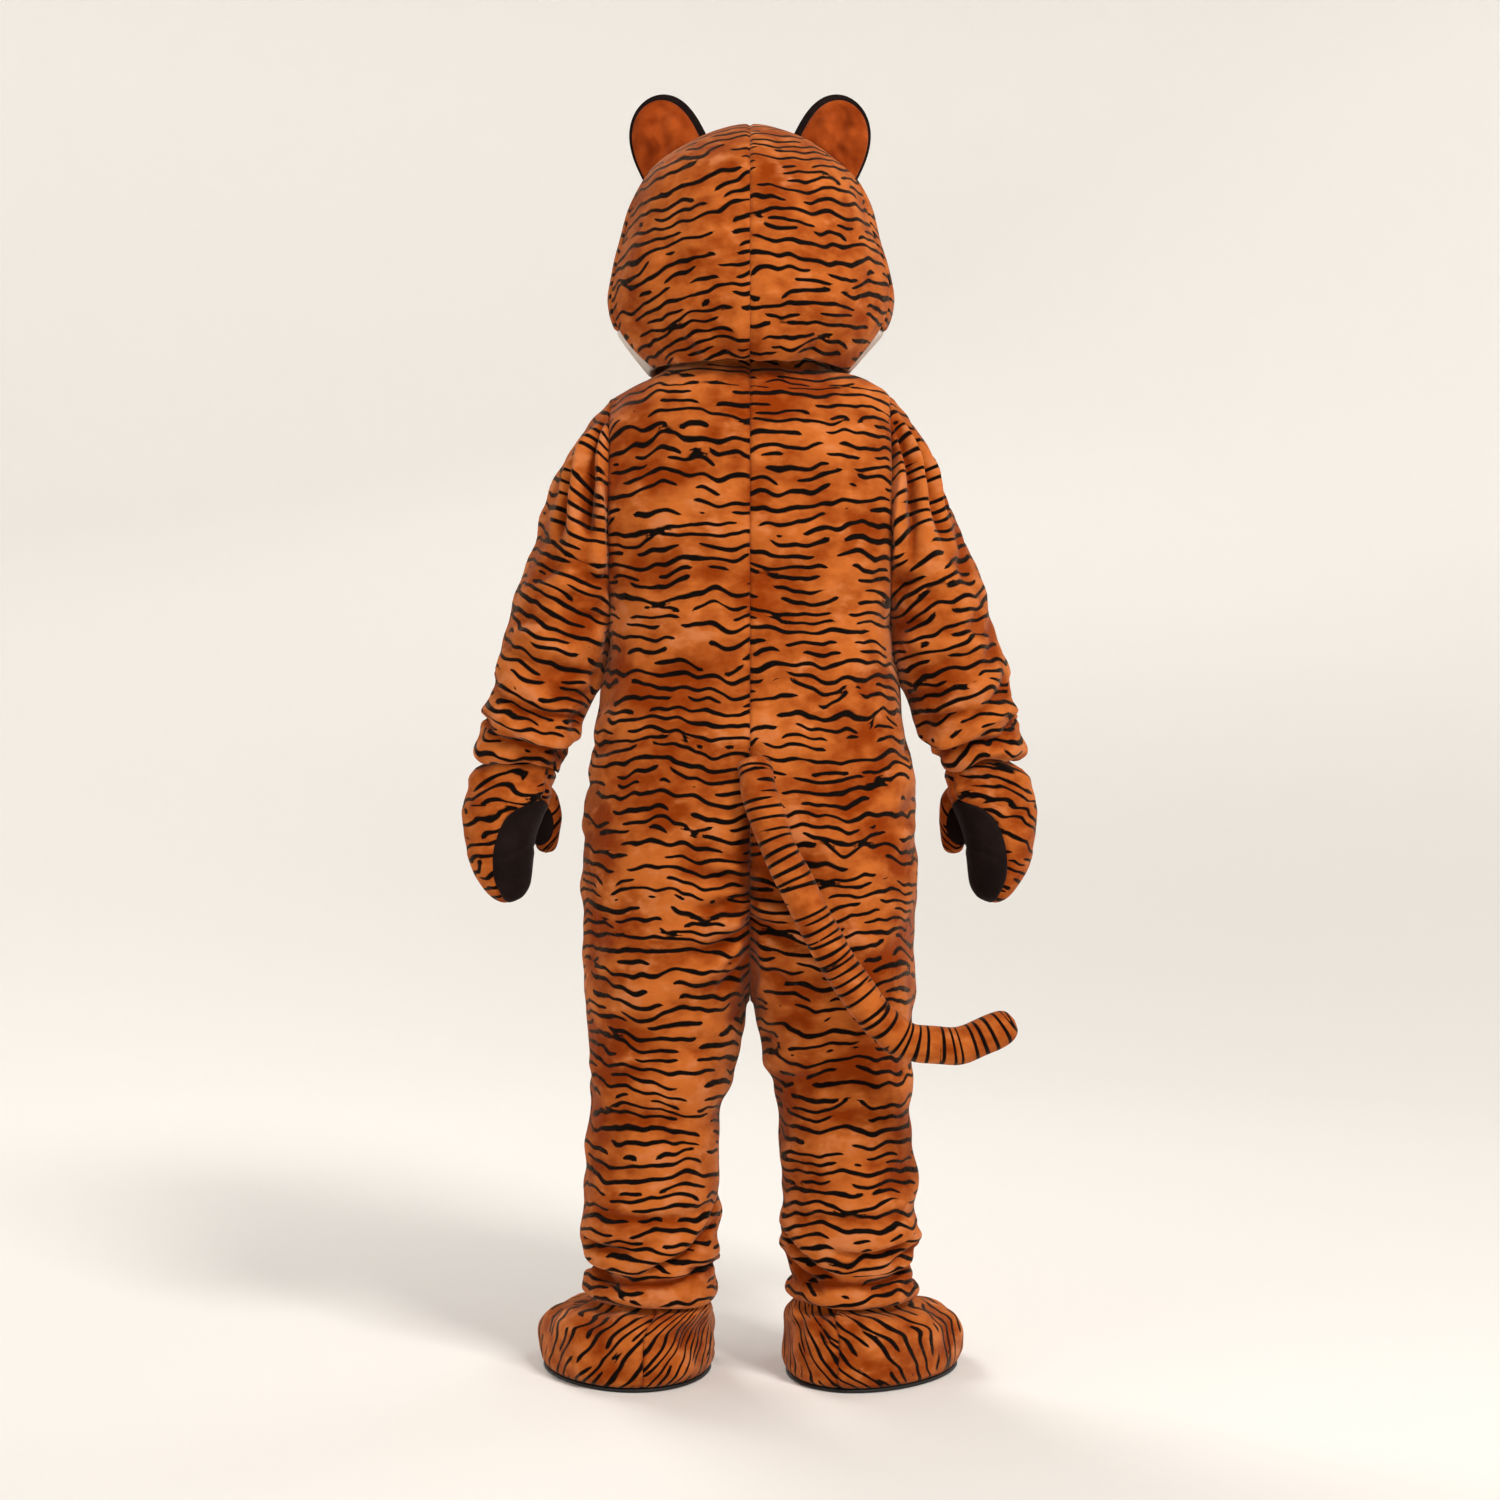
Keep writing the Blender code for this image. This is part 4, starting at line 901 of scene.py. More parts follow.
# ---------------------------------------------------------------- surfaces of the pieces


def armhole_depth(height):
    """Half of the armhole's size from front to back at a height: an ellipse."""
    middle = (ARMHOLE_TOP + ARMHOLE_LOW) / 2
    half = (ARMHOLE_TOP - ARMHOLE_LOW) / 2
    return ARMHOLE_DEPTH * np.sqrt(np.maximum(0.0, 1 - ((height - middle) / half) ** 2))


def suit_points(side, face, u, height):
    """One quarter of the suit at a share u from its inner edge to its side seam.

    Each height is a fuller ellipse whose inner half reaches to the middle of the body or
    to the inseam. Along the armhole it is widened until it leaves the armhole's plane at
    the armhole's edge, and it ends there.
    """
    out, centre, inner, square = read(SUIT, "height", "side centre inner square", height)
    depth = read(SUIT, "height", face, height)[0]
    reach_in = centre - inner
    start = np.arccos(np.clip(centre / reach_in, 0, 1) ** (square / 2))
    edge = np.clip(armhole_depth(height) / depth, 0, 0.98)
    beside = (height > ARMHOLE_LOW) & (height < ARMHOLE_TOP)
    widened = ARMHOLE_X / (1 - edge**square) ** (1 / square)
    reach_out = np.where(beside, widened, out - centre)
    stop = np.where(beside, np.arccos(-((ARMHOLE_X / widened) ** (square / 2))), np.pi)
    angle = start + (stop - start) * u
    cosine, sine = np.cos(angle), np.sin(angle)
    reach = np.where(cosine > 0, reach_in, reach_out)
    x = centre - reach * power(cosine, 2 / square)
    y = depth * power(np.maximum(sine, 0.0), 2 / square)
    return stack(side * x, y if face == "back" else -y, height)


def suit_back_depth(x, height):
    """How far back the suit's surface is at a place across it and a height."""
    out, centre, inner, square = read(SUIT, "height", "side centre inner square", height)
    depth = read(SUIT, "height", "back", height)[0]
    reach = np.where(np.abs(x) > centre, out - centre, centre - inner)
    share = np.clip(np.abs(np.abs(x) - centre) / reach, 0, 1)
    return depth * (1 - share**square) ** (1 / square)


def suit_relief(points, side_name):
    """Folds of torso and leg, blended at the crotch, and a slight unevenness."""
    x, y, z = np.moveaxis(points, -1, 0)
    torso = np.arctan2(x, y) * TORSO_RADIUS
    girth = 2 * np.pi * TORSO_RADIUS
    leg = np.arctan2(SIDES[side_name] * x - LEG_CENTRE, y) * LEG_RADIUS
    on_leg = 1 - ease(z, 0.50, 0.60)
    height = folds(TORSO_FOLDS, torso, z, girth) * ease(z, 0.52, 0.60)
    height += folds(LEG_FOLDS[side_name], leg, z, 2 * np.pi * LEG_RADIUS) * on_leg
    height += ripple(points, 0.13, 0.0022, 3, flat=1.8) + ripple(points, 0.048, 0.0011, 7, flat=2.0)
    height *= bpy.context.scene.costume_sizes.fold_strength
    return np.where(height > 0, ROLL * np.tanh(height / ROLL), height)


def arm_chart(points, side):
    """(round the arm from its back, down the arm from the shoulder), in metres."""
    x, height = side * points[..., 0], points[..., 2]
    from_x, from_z = x - ARM_START[0], height - ARM_START[1]
    outward = from_x * -ARM_WAY[1] + from_z * ARM_WAY[0]
    turn = np.unwrap(np.arctan2(outward, points[..., 1]), axis=0)
    down = (x - ARM_TOP[0]) * ARM_WAY[0] + (height - ARM_TOP[1]) * ARM_WAY[1]
    return turn * ARM_RADIUS, down


def sleeve_points(side, u, v):
    """Rings through an outer and an inner point, u from the underarm round by the back."""
    row = v * (len(SLEEVE["depth"]) - 1)
    ox, oz, ix, iz, depth = by_row(SLEEVE, "outer_x outer_z inner_x inner_z depth", row)
    angle = 2 * np.pi * (u + 0.5)
    x = (ox + ix) / 2 + (ox - ix) / 2 * np.cos(angle)
    z = (oz + iz) / 2 + (oz - iz) / 2 * np.cos(angle)
    return stack(side * x, -depth * np.sin(angle), z)


def head_points(angle, row):
    """A point of the head at degrees from the centre back and at a row of its table: an
    ellipse with one depth behind and one in front, and a bell curve for the muzzle."""
    height, width, back, front = by_row(HEAD, "height width back front", row)
    radians = np.radians(angle)
    depth = np.where(np.cos(radians) > 0, back, front)
    from_front = (np.mod(angle, 360) - 180) / MUZZLE["spread_angle"]
    from_middle = (height - MUZZLE["height"]) / MUZZLE["spread_z"]
    bump = MUZZLE["reach"] * np.exp(-(from_front**2) - from_middle**2)
    return stack(width * np.sin(radians), depth * np.cos(radians) - bump, height)


def head_climb(height):
    """The length of cloth up the head's side to a height, by its table."""
    profile = np.stack([HEAD["width"], HEAD["height"]], axis=-1)
    return smooth(HEAD["height"], run(profile, 0), height)


def face_seam(angle):
    """The row of the seam between brow and face, lowest at the side seams."""
    share = (1 - np.cos(np.radians(angle - BACK_SEAM_ANGLE) * 180 / (180 - BACK_SEAM_ANGLE))) / 2
    return FACE_SEAM_SIDE + (FACE_SEAM_FRONT - FACE_SEAM_SIDE) * share


def front_angle(u):
    return BACK_SEAM_ANGLE + (360 - 2 * BACK_SEAM_ANGLE) * u


def mitt_points(side, angle, height):
    """A point of a mitt's ring at degrees from its outer edge by way of the back."""
    outer, inner, depth = read(MITT, "height", "outer inner depth", height)
    radians = np.radians(angle)
    x = (outer + inner) / 2 + (outer - inner) / 2 * np.cos(radians)
    return stack(side * x, depth * np.sin(radians), height)


def tube_points(path, side, reference, u, v):
    """Circles square to a path, whose way is taken over a whole row of its table."""
    row = v * (len(path["radius"]) - 1)
    centre = stack(*by_row(path, "x y z", row))
    ahead = stack(*by_row(path, "x y z", row + HALF_ROW))
    behind = stack(*by_row(path, "x y z", row - HALF_ROW))
    way = unit(ahead - behind)
    first = unit(np.cross(way, np.array(reference)))
    second = np.cross(first, way)
    radius = by_row(path, "radius", row)[0][..., None]
    angle = (2 * np.pi * u)[..., None]
    points = centre + radius * (first * np.cos(angle) + second * np.sin(angle))
    return points * (side, 1, 1)


def shoe_points(side_name, angle, row):
    """A point of a shoe's ring at degrees from its left edge by way of the heel."""
    height, heel, length, width, lean = by_row(SHOE, "height heel length width lean", row)
    side = SIDES[side_name]
    radians = np.radians(angle)
    turn = np.radians(TOE_OUT[side_name])
    narrow = 1 - SHOE_NARROW_HEEL * np.sin(radians) * (1 - lean)
    across = width * np.cos(radians) * narrow
    along = length * np.sin(radians)
    middle = -(heel + length)
    start_x, start_y = HEELS[side_name]
    centre_x = (1 - lean) * (start_x - middle * np.sin(turn)) + lean * side * ANKLE[0]
    centre_y = (1 - lean) * (start_y + middle * np.cos(turn)) + lean * ANKLE[1]
    x = centre_x + across * np.cos(turn) - along * np.sin(turn)
    y = centre_y + across * np.sin(turn) + along * np.cos(turn)
    return stack(x, y, height)


# ---------------------------------------------------------------- finishes


class Value:
    """A number on a material's link; arithmetic on it adds Math nodes."""

    def __init__(self, finish, socket):
        self.finish, self.socket = finish, socket

    def math(self, operation, *others, swap=False):
        terms = [self, *others]
        terms = terms[::-1] if swap else terms
        node = self.finish.node("ShaderNodeMath", {"operation": operation}, dict(enumerate(terms)))
        return Value(self.finish, node.outputs[0])

    def __add__(self, other):
        return self.math("ADD", other)

    def __sub__(self, other):
        return self.math("SUBTRACT", other)

    def __rsub__(self, other):
        return self.math("SUBTRACT", other, swap=True)

    def __mul__(self, other):
        return self.math("MULTIPLY", other)

    def __truediv__(self, other):
        return self.math("DIVIDE", other)

    __radd__ = __add__
    __rmul__ = __mul__

    def step(self, start, stop):
        """Nought below start, one above stop, eased between."""
        settings = {"interpolation_type": "SMOOTHSTEP"}
        inputs = {"Value": self, "From Min": start, "From Max": stop}
        node = self.finish.node("ShaderNodeMapRange", settings, inputs)
        return Value(self.finish, node.outputs[0])


class Finish:
    """One material and the ways to add to it."""

    def __init__(self, name, roughness, **constants):
        self.material = bpy.data.materials.new("fine_" + name)
        self.material.use_nodes = True
        self.tree = self.material.node_tree
        self.shader = self.tree.nodes["Principled BSDF"]
        self.shader.inputs["Roughness"].default_value = roughness
        for socket, value in constants.items():
            self.shader.inputs[socket.replace("_", " ")].default_value = value

    def put(self, socket, value):
        """Links a Value or a socket, or sets a plain value."""
        if isinstance(value, Value):
            value = value.socket
        if isinstance(value, bpy.types.NodeSocket):
            self.tree.links.new(value, socket)
        else:
            socket.default_value = value

    def node(self, kind, settings, inputs):
        """A node of a type, with its settings first and then its inputs by name or number."""
        node = self.tree.nodes.new(kind)
        for name, value in settings.items():
            setattr(node, name, value)
        for key, value in inputs.items():
            self.put(node.inputs[key], value)
        return node

    def cloth(self):
        """The piece's chart in metres of cloth, as a vector."""
        return self.node("ShaderNodeUVMap", {"uv_map": "cloth"}, {}).outputs[0]

    def space(self):
        return self.node("ShaderNodeTexCoord", {}, {}).outputs["Object"]

    def scaled(self, vector, scale, shift=(0, 0, 0)):
        inputs = {"Vector": vector, "Scale": scale, "Location": shift}
        return self.node("ShaderNodeMapping", {}, inputs).outputs[0]

    def split(self, vector):
        outputs = self.node("ShaderNodeSeparateXYZ", {}, {0: vector}).outputs
        return [Value(self, outputs[i]) for i in range(3)]

    def join(self, x, y, z=0.0):
        return self.node("ShaderNodeCombineXYZ", {}, {0: x, 1: y, 2: z}).outputs[0]

    def noise(self, vector, scale, detail=2.0, roughness=0.5, flat=False):
        """Noise about nought, of about one either way."""
        settings = {"noise_dimensions": "2D" if flat else "3D"}
        inputs = {"Vector": vector, "Scale": scale, "Detail": detail, "Roughness": roughness}
        made = Value(self, self.node("ShaderNodeTexNoise", settings, inputs).outputs[0])
        return (made - 0.5) * 2.0

    def blend(self, share, one, other):
        """A colour between two, by a share of the other."""
        settings = {"data_type": "RGBA"}
        node = self.node("ShaderNodeMix", settings, {0: share, 6: one, 7: other})
        return node.outputs[2]

    def bump(self, height, distance, strength=1.0, under=None):
        inputs = {"Height": height, "Distance": distance, "Strength": strength}
        if under is not None:
            inputs["Normal"] = under
        return self.node("ShaderNodeBump", {}, inputs).outputs[0]

    def ridge(self):
        """From -1 in a fold's trough to 1 on its ridge, or nought on a piece without it."""
        node = self.node("ShaderNodeAttribute", {"attribute_name": "ridge"}, {})
        return Value(self, node.outputs["Fac"])

    def nap(self):
        """Short velvet pile: fine tufts, and the soft tracks that handling leaves in it."""
        place = self.space()
        tufts = self.noise(place, 620.0, 3.0, 0.65)
        tracks = self.noise(place, 34.0, 3.0, 0.55)
        under = self.bump(tracks, 0.0035, 0.5)
        self.put(self.shader.inputs["Normal"], self.bump(tufts, 0.0011, 0.55, under))
        return tufts, tracks


# Forks in the stripes come in pairs, one pair in every cell of each of these layers
FORK_LAYERS = ((0.0, 0.0, 1.0), (3.63, 1.37, 1.17), (7.27, 5.71, 0.86))  # shifts, size
FORK_CELL = (0.128, 0.066)  # across, up
FORK_REACH = 0.0165  # half of the extra stripe between two forks
FORK_LEAN = 2.6  # how much further the forks reach along the stripes than across them


def fork_turns(finish, across, up):
    """By how many stripes the comb is shifted round its forks, and that shift's slopes.

    Each cell of a layer holds an extra stripe with a fork at either end. The angle at which
    a place sees one end, less that at which it sees the other, jumps by one turn across the
    extra stripe, and fades away from it. It is windowed to nought at the cell's border. The
    slopes, across and up, are those of the two angles: each end's offset over its distance
    squared.
    """
    turns = slope_across = slope_up = 0.0
    for shift_across, shift_up, size in FORK_LAYERS:
        wide, high = FORK_CELL[0] * size, FORK_CELL[1] * size
        cell = finish.join(across / wide + shift_across, up / high + shift_up)
        common = {"Vector": cell, "Scale": 1.0, "Randomness": 0.5}
        nearest, border = (
            finish.node(
                "ShaderNodeTexVoronoi", {"voronoi_dimensions": "2D", "feature": feature}, common
            ).outputs
            for feature in ("F1", "DISTANCE_TO_EDGE")
        )
        away = finish.node(
            "ShaderNodeVectorMath", {"operation": "SUBTRACT"}, {0: cell, 1: nearest["Position"]}
        )
        aside, above, _ = finish.split(away.outputs[0])
        aside, above = aside * wide, above * (high * FORK_LEAN)
        window = Value(finish, border["Distance"]).step(0.0, 0.12) * (0.5 / np.pi)
        for end in (-1, 1):
            beyond = aside + end * FORK_REACH * size
            near = window * -end / (beyond * beyond + above * above + 1e-6)
            turns = above.math("ARCTAN2", beyond) * window * -end + turns
            slope_across = slope_across - above * near
            slope_up = slope_up + beyond * near * FORK_LEAN
    return turns, slope_across, slope_up


def stripe_share(finish):
    """How black the cloth is: thin wavy stripes with forks, breaks and rounded ends.

    The stripes are a comb up the cloth, one to a pitch, which two noises bend and forks
    shift. The distance to the middle of the nearest is in turns, so it is divided by its
    growth per pitch of cloth, and compared with half of the stripe's width. A noise along
    the stripes takes that width to nought where they break.
    """
    sizes = bpy.context.scene.costume_sizes
    chart = finish.cloth()
    across, up, _ = finish.split(chart)
    waves = finish.noise(finish.scaled(chart, (8.0, 5.0, 1.0)), 1.0, 0.0, flat=True)
    jogged = finish.scaled(chart, (27.0, 13.0, 1.0), (3, 7, 0))
    jogs = finish.noise(jogged, 1.0, 0.7, 0.4, flat=True)
    bent = up + waves * 0.018 + jogs * 0.0095
    shift, slope_across, slope_up = fork_turns(finish, across, bent)
    turns = bent / sizes.stripe_pitch + shift
    slope_up = slope_up * sizes.stripe_pitch + 1.0
    slope_across = slope_across * sizes.stripe_pitch
    growth = (slope_up * slope_up + slope_across * slope_across).math("SQRT")
    frayed = finish.noise(chart, 420.0, 1.0, flat=True) * 0.012
    distance = ((turns + 400.0).math("FRACT") - 0.5).math("ABSOLUTE")
    distance = distance / growth.math("MAXIMUM", 0.45) + frayed
    line = turns.math("FLOOR")
    at = finish.join(across * (1 / sizes.stripe_length) + line * 0.37, line * 1.71)
    breaks = finish.noise(at, 1.0, 0.0, flat=True)
    kept = (breaks + 0.47).step(0.0, 0.10).math("SQRT")
    filled = finish.scaled(chart, (24.0, 30.0, 1.0), (2, 9, 0))
    fullness = finish.noise(filled, 1.0, 0.0, flat=True)
    width = (sizes.stripe_width / 2 / sizes.stripe_pitch) * (1 + fullness * 0.22) * kept
    return (width - distance).step(-0.050, 0.050) * width.step(0.02, 0.07)


def striped_plush(colours):
    """Orange velvet plush, mottled, with a painted highlight on its ridges and painted shade in its
    troughs, and printed black stripes.
    """
    finish = Finish(
        "striped_plush",
        0.82,
        Sheen_Weight=0.26,
        Sheen_Roughness=0.34,
        Sheen_Tint=(1.0, 0.70, 0.52, 1.0),
        Specular_IOR_Level=0.0,
    )
    tufts, tracks = finish.nap()
    place = finish.space()
    patches = finish.noise(place, 16.0, 2.0, 0.5)
    smudges = finish.noise(finish.scaled(place, (1, 1, 1.7), (4, 2, 9)), 30.0, 2.0, 0.55)
    # The ridge attribute paints a highlight on fold ridges and shade in fold troughs.
    ridge = finish.ridge()
    # Deep to pale orange: random mottling, plus the painted highlight and painted shade.
    pale = patches * 0.60 + smudges * 0.65 + tracks * 0.3 + tufts * 0.12 + ridge * 0.42
    pale = pale.step(-0.55, 0.55)
    colour = finish.blend(pale, tuple(colours.orange_deep), tuple(colours.orange_pale))
    # The worn colour: random smudges of turned nap, plus a painted highlight on ridges.
    worn_and_highlight_share = (smudges * 0.7 + tracks * 0.5 - patches * 0.3 + ridge * 0.30).step(0.16, 0.62) * 0.6
    colour = finish.blend(worn_and_highlight_share, colour, tuple(colours.orange_worn_and_highlight))
    black = stripe_share(finish)
    colour = finish.blend(black, colour, tuple(colours.stripe))
    finish.put(finish.shader.inputs["Base Color"], colour)
    return finish.material


def plain_plush(name, deep, pale, sheen, tint):
    """Velvet plush of one colour, mottled at random, with painted shade in its hollows and a
    painted highlight on its ridges.
    """
    finish = Finish(
        name,
        0.82,
        Sheen_Weight=sheen,
        Sheen_Roughness=0.38,
        Sheen_Tint=tint,
        Specular_IOR_Level=0.0,
    )
    tufts, tracks = finish.nap()
    patches = finish.noise(finish.space(), 22.0, 2.0, 0.5)
    # Deep to pale: random mottling, plus painted shade in hollows and a painted highlight on ridges
    # from the ridge attribute.
    share = (patches * 0.7 + tracks * 0.4 + tufts * 0.12 + finish.ridge() * 0.5).step(-0.6, 0.7)
    finish.put(finish.shader.inputs["Base Color"], finish.blend(share, deep, pale))
    return finish.material


def sight_mesh():
    """Dark open mesh: small round holes in rows, as a bump and a darker colour that is painted
    shade of the dark inside seen through them.
    """
    finish = Finish("sight_mesh", 0.5, Specular_IOR_Level=0.4)
    across, up, _ = finish.split(finish.cloth())
    rows = (across * 1900.0).math("SINE") * (up * 1900.0).math("SINE")
    holes = rows.step(-0.1, 0.5)
    # Painted shade: the holes are darker, as the dark inside behind the mesh.
    colour = finish.blend(holes, (0.030, 0.028, 0.027, 1), (0.004, 0.004, 0.004, 1))
    finish.put(finish.shader.inputs["Base Color"], colour)
    finish.put(finish.shader.inputs["Normal"], finish.bump(1 - holes, 0.0006, 0.8))
    return finish.material


def sole_rubber():
    """Black rubber with a fine grain and paler scuffs."""
    finish = Finish("sole_rubber", 0.6, Specular_IOR_Level=0.35)
    place = finish.space()
    grain = finish.noise(place, 300.0, 3.0, 0.6)
    scuffs = finish.noise(place, 26.0, 3.0, 0.6).step(0.1, 0.7)
    colour = finish.blend(scuffs, (0.010, 0.009, 0.009, 1), (0.030, 0.027, 0.025, 1))
    finish.put(finish.shader.inputs["Base Color"], colour)
    finish.put(finish.shader.inputs["Normal"], finish.bump(grain, 0.0005, 0.5))
    return finish.material


def finish_named(name):
    """The finish of a material slot, made when it is first asked for."""
    if "fine_" + name in bpy.data.materials:
        return bpy.data.materials["fine_" + name]
    colours = bpy.context.scene.costume_colours
    if name == "striped_plush":
        return striped_plush(colours)
    if name == "sight_mesh":
        return sight_mesh()
    if name == "sole_rubber":
        return sole_rubber()
    deep, pale, sheen, tint = {
        "orange_plush": (colours.ear_deep, colours.ear_pale, 0.22, (1.0, 0.66, 0.46, 1.0)),
        "pale_plush": (colours.cream_deep, colours.cream_pale, 0.25, (1.0, 0.95, 0.9, 1.0)),
        "black_plush": (colours.black_deep, colours.black_pale, 0.10, (0.8, 0.7, 0.7, 1.0)),
    }[name]
    return plain_plush(name, tuple(deep), tuple(pale), sheen, tint)


# ---------------------------------------------------------------- pieces


class COSTUME_OT_suit(Operator):
    """Adds the suit's four quarters, from the ankle hems to the neck"""

    bl_idname = "costume.suit"
    bl_label = "Suit"

    columns = 58
    shoulder = 1.41  # above it the cloth is measured over the shoulder
    sag_from, sag_full, sag = 0.30, 0.24, 0.35

    def execute(self, context):
        heights = stepped(SUIT_STEPS)
        for side_name, side in SIDES.items():
            for face in ("back", "front"):
                u, z = grid(spaced(self.columns), heights)
                points = suit_points(side, face, u, z)
                name = "suit_" + face + "_" + side_name
                near = from_edges(points, False, (False, False))
                middle = ease(near["first"], 0.0, 0.014) + (points[:1, :, 0] * side > 0.001)
                beside = (z > ARMHOLE_LOW) & (z < ARMHOLE_TOP)
                armhole = np.where(beside, ease(near["last"], 0.0, 0.012), 1.0)
                cloth(
                    name,
                    "striped_plush",
                    points,
                    self.chart(points, heights, side_name, face),
                    suit_relief(points, side_name),
                    seams=("first", "last"),
                    hems=("low", "high"),
                    free=np.minimum(middle, 1.0) * armhole,
                    hangs_from="high",
                    sag=self.sag * (1 - ease(z, self.sag_full, self.sag_from)),
                    keep=self.keeper(side, 1.0 if face == "back" else -1.0),
                )
        return {"FINISHED"}

    def chart(self, points, heights, side_name, face):
        """(from the side seam, up the cloth): lengths along the rows, and up one column."""
        across = run(points, 0)
        whole = across[-1].copy()
        armhole = heights > ARMHOLE_LOW
        whole[armhole] = whole[~armhole][-1]
        middle = points.shape[0] // 3
        over_shoulder = np.diff(run(points[middle : middle + 1], 1)[0], prepend=0.0)
        climb = np.diff(heights, prepend=heights[0])
        climb = np.cumsum(np.where(heights > self.shoulder, over_shoulder, climb))
        start = {"left": 0.0, "right": 3.7}[side_name] + {"back": 0.0, "front": 1.9}[face]
        along = np.broadcast_to(climb, across.shape)
        return np.stack([whole - across + start, along + start * 2.3], axis=-1)

    def keeper(self, side, toward):
        """Keeps a quarter on its own side of the seams and of the armhole's plane."""

        def keep(points):
            x = np.maximum(side * points[..., 0], 0)
            beside = armhole_depth(points[..., 2]) > 0
            x = np.where(beside, np.minimum(x, ARMHOLE_X), x)
            y = np.maximum(toward * points[..., 1], 0)
            return stack(side * x, toward * y, points[..., 2])

        return keep


class COSTUME_OT_sleeves(Operator):
    """Adds the two sleeves, from the armhole to the bunched cuff"""

    bl_idname = "costume.sleeves"
    bl_label = "Sleeves"

    columns, rows = 124, 124
    sag_from, sag_full, sag = 0.44, 0.49, 0.45

    def execute(self, context):
        strength = context.scene.costume_sizes.fold_strength
        for side_name, side in SIDES.items():
            around = np.linspace(0, 1, self.columns + 1)
            u, v = grid(around, spaced(self.rows, 0.45))
            points = sleeve_points(side, u, v)
            turn, down = arm_chart(points, side)
            rows = SLEEVE_FOLDS[side_name] + CUFF_FOLDS
            height = folds(rows, turn, down, 2 * np.pi * ARM_RADIUS) * ease(v, 0.0, 0.06)
            height += ripple(points, 0.10, 0.0020, 11) + ripple(points, 0.042, 0.0011, 12)
            cloth(
                "sleeve_" + side_name,
                "striped_plush",
                points[:-1],
                on_cloth("sleeve", turn, down, side),
                (height * strength)[:-1],
                ring=True,
                seams=("low",),
                hems=("high",),
                free=ease(run(points, 1), 0.0, 0.012)[:-1],
                hangs_from="low",
                sag=self.sag * ease(down, self.sag_from, self.sag_full)[:-1],
                keep=kept_beyond(side, ARMHOLE_X),
            )
        return {"FINISHED"}


class COSTUME_OT_head(Operator):
    """Adds the head's two back quarters, its brow and its pale face"""

    bl_idname = "costume.head"
    bl_label = "Head"

    tilt = {"left": 13.0, "right": -3.0}  # degrees that the stripes climb to the centre seam

    def execute(self, context):
        rows = spaced(112, 0.3)
        for side_name, side in SIDES.items():
            u, v = grid(spaced(52), rows)
            points = head_points(side * BACK_SEAM_ANGLE * u, HEAD_TOP * v)
            across, up = run(points, 0), head_climb(points[..., 2])
            turn = np.radians(self.tilt[side_name])
            along = across * np.cos(turn) - up * np.sin(turn)
            climb = up * np.cos(turn) + across * np.sin(turn)
            name = "head_back_" + side_name
            cloth(
                name,
                "striped_plush",
                points,
                on_cloth("head_back", along, climb, side),
                self.relief(points),
                thick=HEAD_WALL,
                poles=(False, True),
                tips=(None, (0, 0, 1)),
                seams=("first", "last"),
                hems=("low",),
                keep=kept_beyond(side, 0),
                held="stretched",
            )
        u, v = grid(spaced(150, 0.4), spaced(76, 0.4))
        angle = front_angle(u)
        seam = face_seam(angle)
        points = head_points(angle, seam + (HEAD_TOP - seam) * v)
        cloth(
            "head_brow",
            "striped_plush",
            points,
            on_cloth("head_brow", run(points, 0), head_climb(points[..., 2])),
            self.relief(points),
            thick=HEAD_WALL,
            poles=(False, True),
            tips=(None, (0, 0, 1)),
            seams=("first", "last", "low"),
            held="stretched",
        )
        u, v = grid(spaced(150, 0.4), spaced(44, 0.4))
        angle = front_angle(u)
        points = head_points(angle, face_seam(angle) * v)
        cloth(
            "head_face",
            "pale_plush",
            points,
            np.stack([run(points, 0), head_climb(points[..., 2])], axis=-1),
            self.relief(points),
            thick=HEAD_WALL,
            seams=("first", "last", "high"),
            hems=("low",),
            held="stretched",
        )
        return {"FINISHED"}

    def relief(self, points):
        """Gathers at the neck edge and a slight unevenness, less towards the crown."""
        x, y, z = np.moveaxis(points, -1, 0)
        around = np.arctan2(x, y) * TORSO_RADIUS
        height = folds(HEAD_FOLDS, around, z)
        height += ripple(points, 0.11, 0.0013, 21) * ease(z, 1.845, 1.79)
        return height * bpy.context.scene.costume_sizes.fold_strength


class COSTUME_OT_face(Operator):
    """Adds the nose and the two sight panels of the eyes"""

    bl_idname = "costume.face"
    bl_label = "Nose and eyes"

    chart_radius = 0.04

    def execute(self, context):
        for side_name, side in SIDES.items():
            self.pad("eye_" + side_name, side * EYE["angle"], EYE, "sight_mesh")
        self.pad("nose", NOSE["angle"], NOSE, "black_plush")
        return {"FINISHED"}

    def pad(self, name, angle, size, slot):
        """A patch inside an ellipse on the head, lifted highest in its middle."""
        turn = np.linspace(0, 2 * np.pi, 65)
        around, share = grid(turn, towards_one(18))
        points = head_points(
            angle + size["half_angle"] * share * np.cos(around),
            size["row"] + size["half_rows"] * share * np.sin(around),
        )
        outward = normals_of(points[:-1], True, (True, False), (None, None))
        outward = outward * np.sign((outward * (points[:-1] - HEAD_MIDDLE)).sum())
        lift = PAD_GAP + PATCH + size["lift"] * np.sqrt(1 - share**2)
        outer = points[:-1] + outward * lift[:-1, :, None]
        inner = points[:-1] + outward * PAD_GAP
        chart = np.stack([share * np.cos(around), share * np.sin(around)], axis=-1)
        chart = chart * self.chart_radius
        made = wall(name + "_pad", outer, inner, chart, True, (True, False))
        if slot == "sight_mesh":
            finish_piece(made, name, slot, *oval_cut(points), "stretched")
        else:
            finish_piece(made, name, slot)


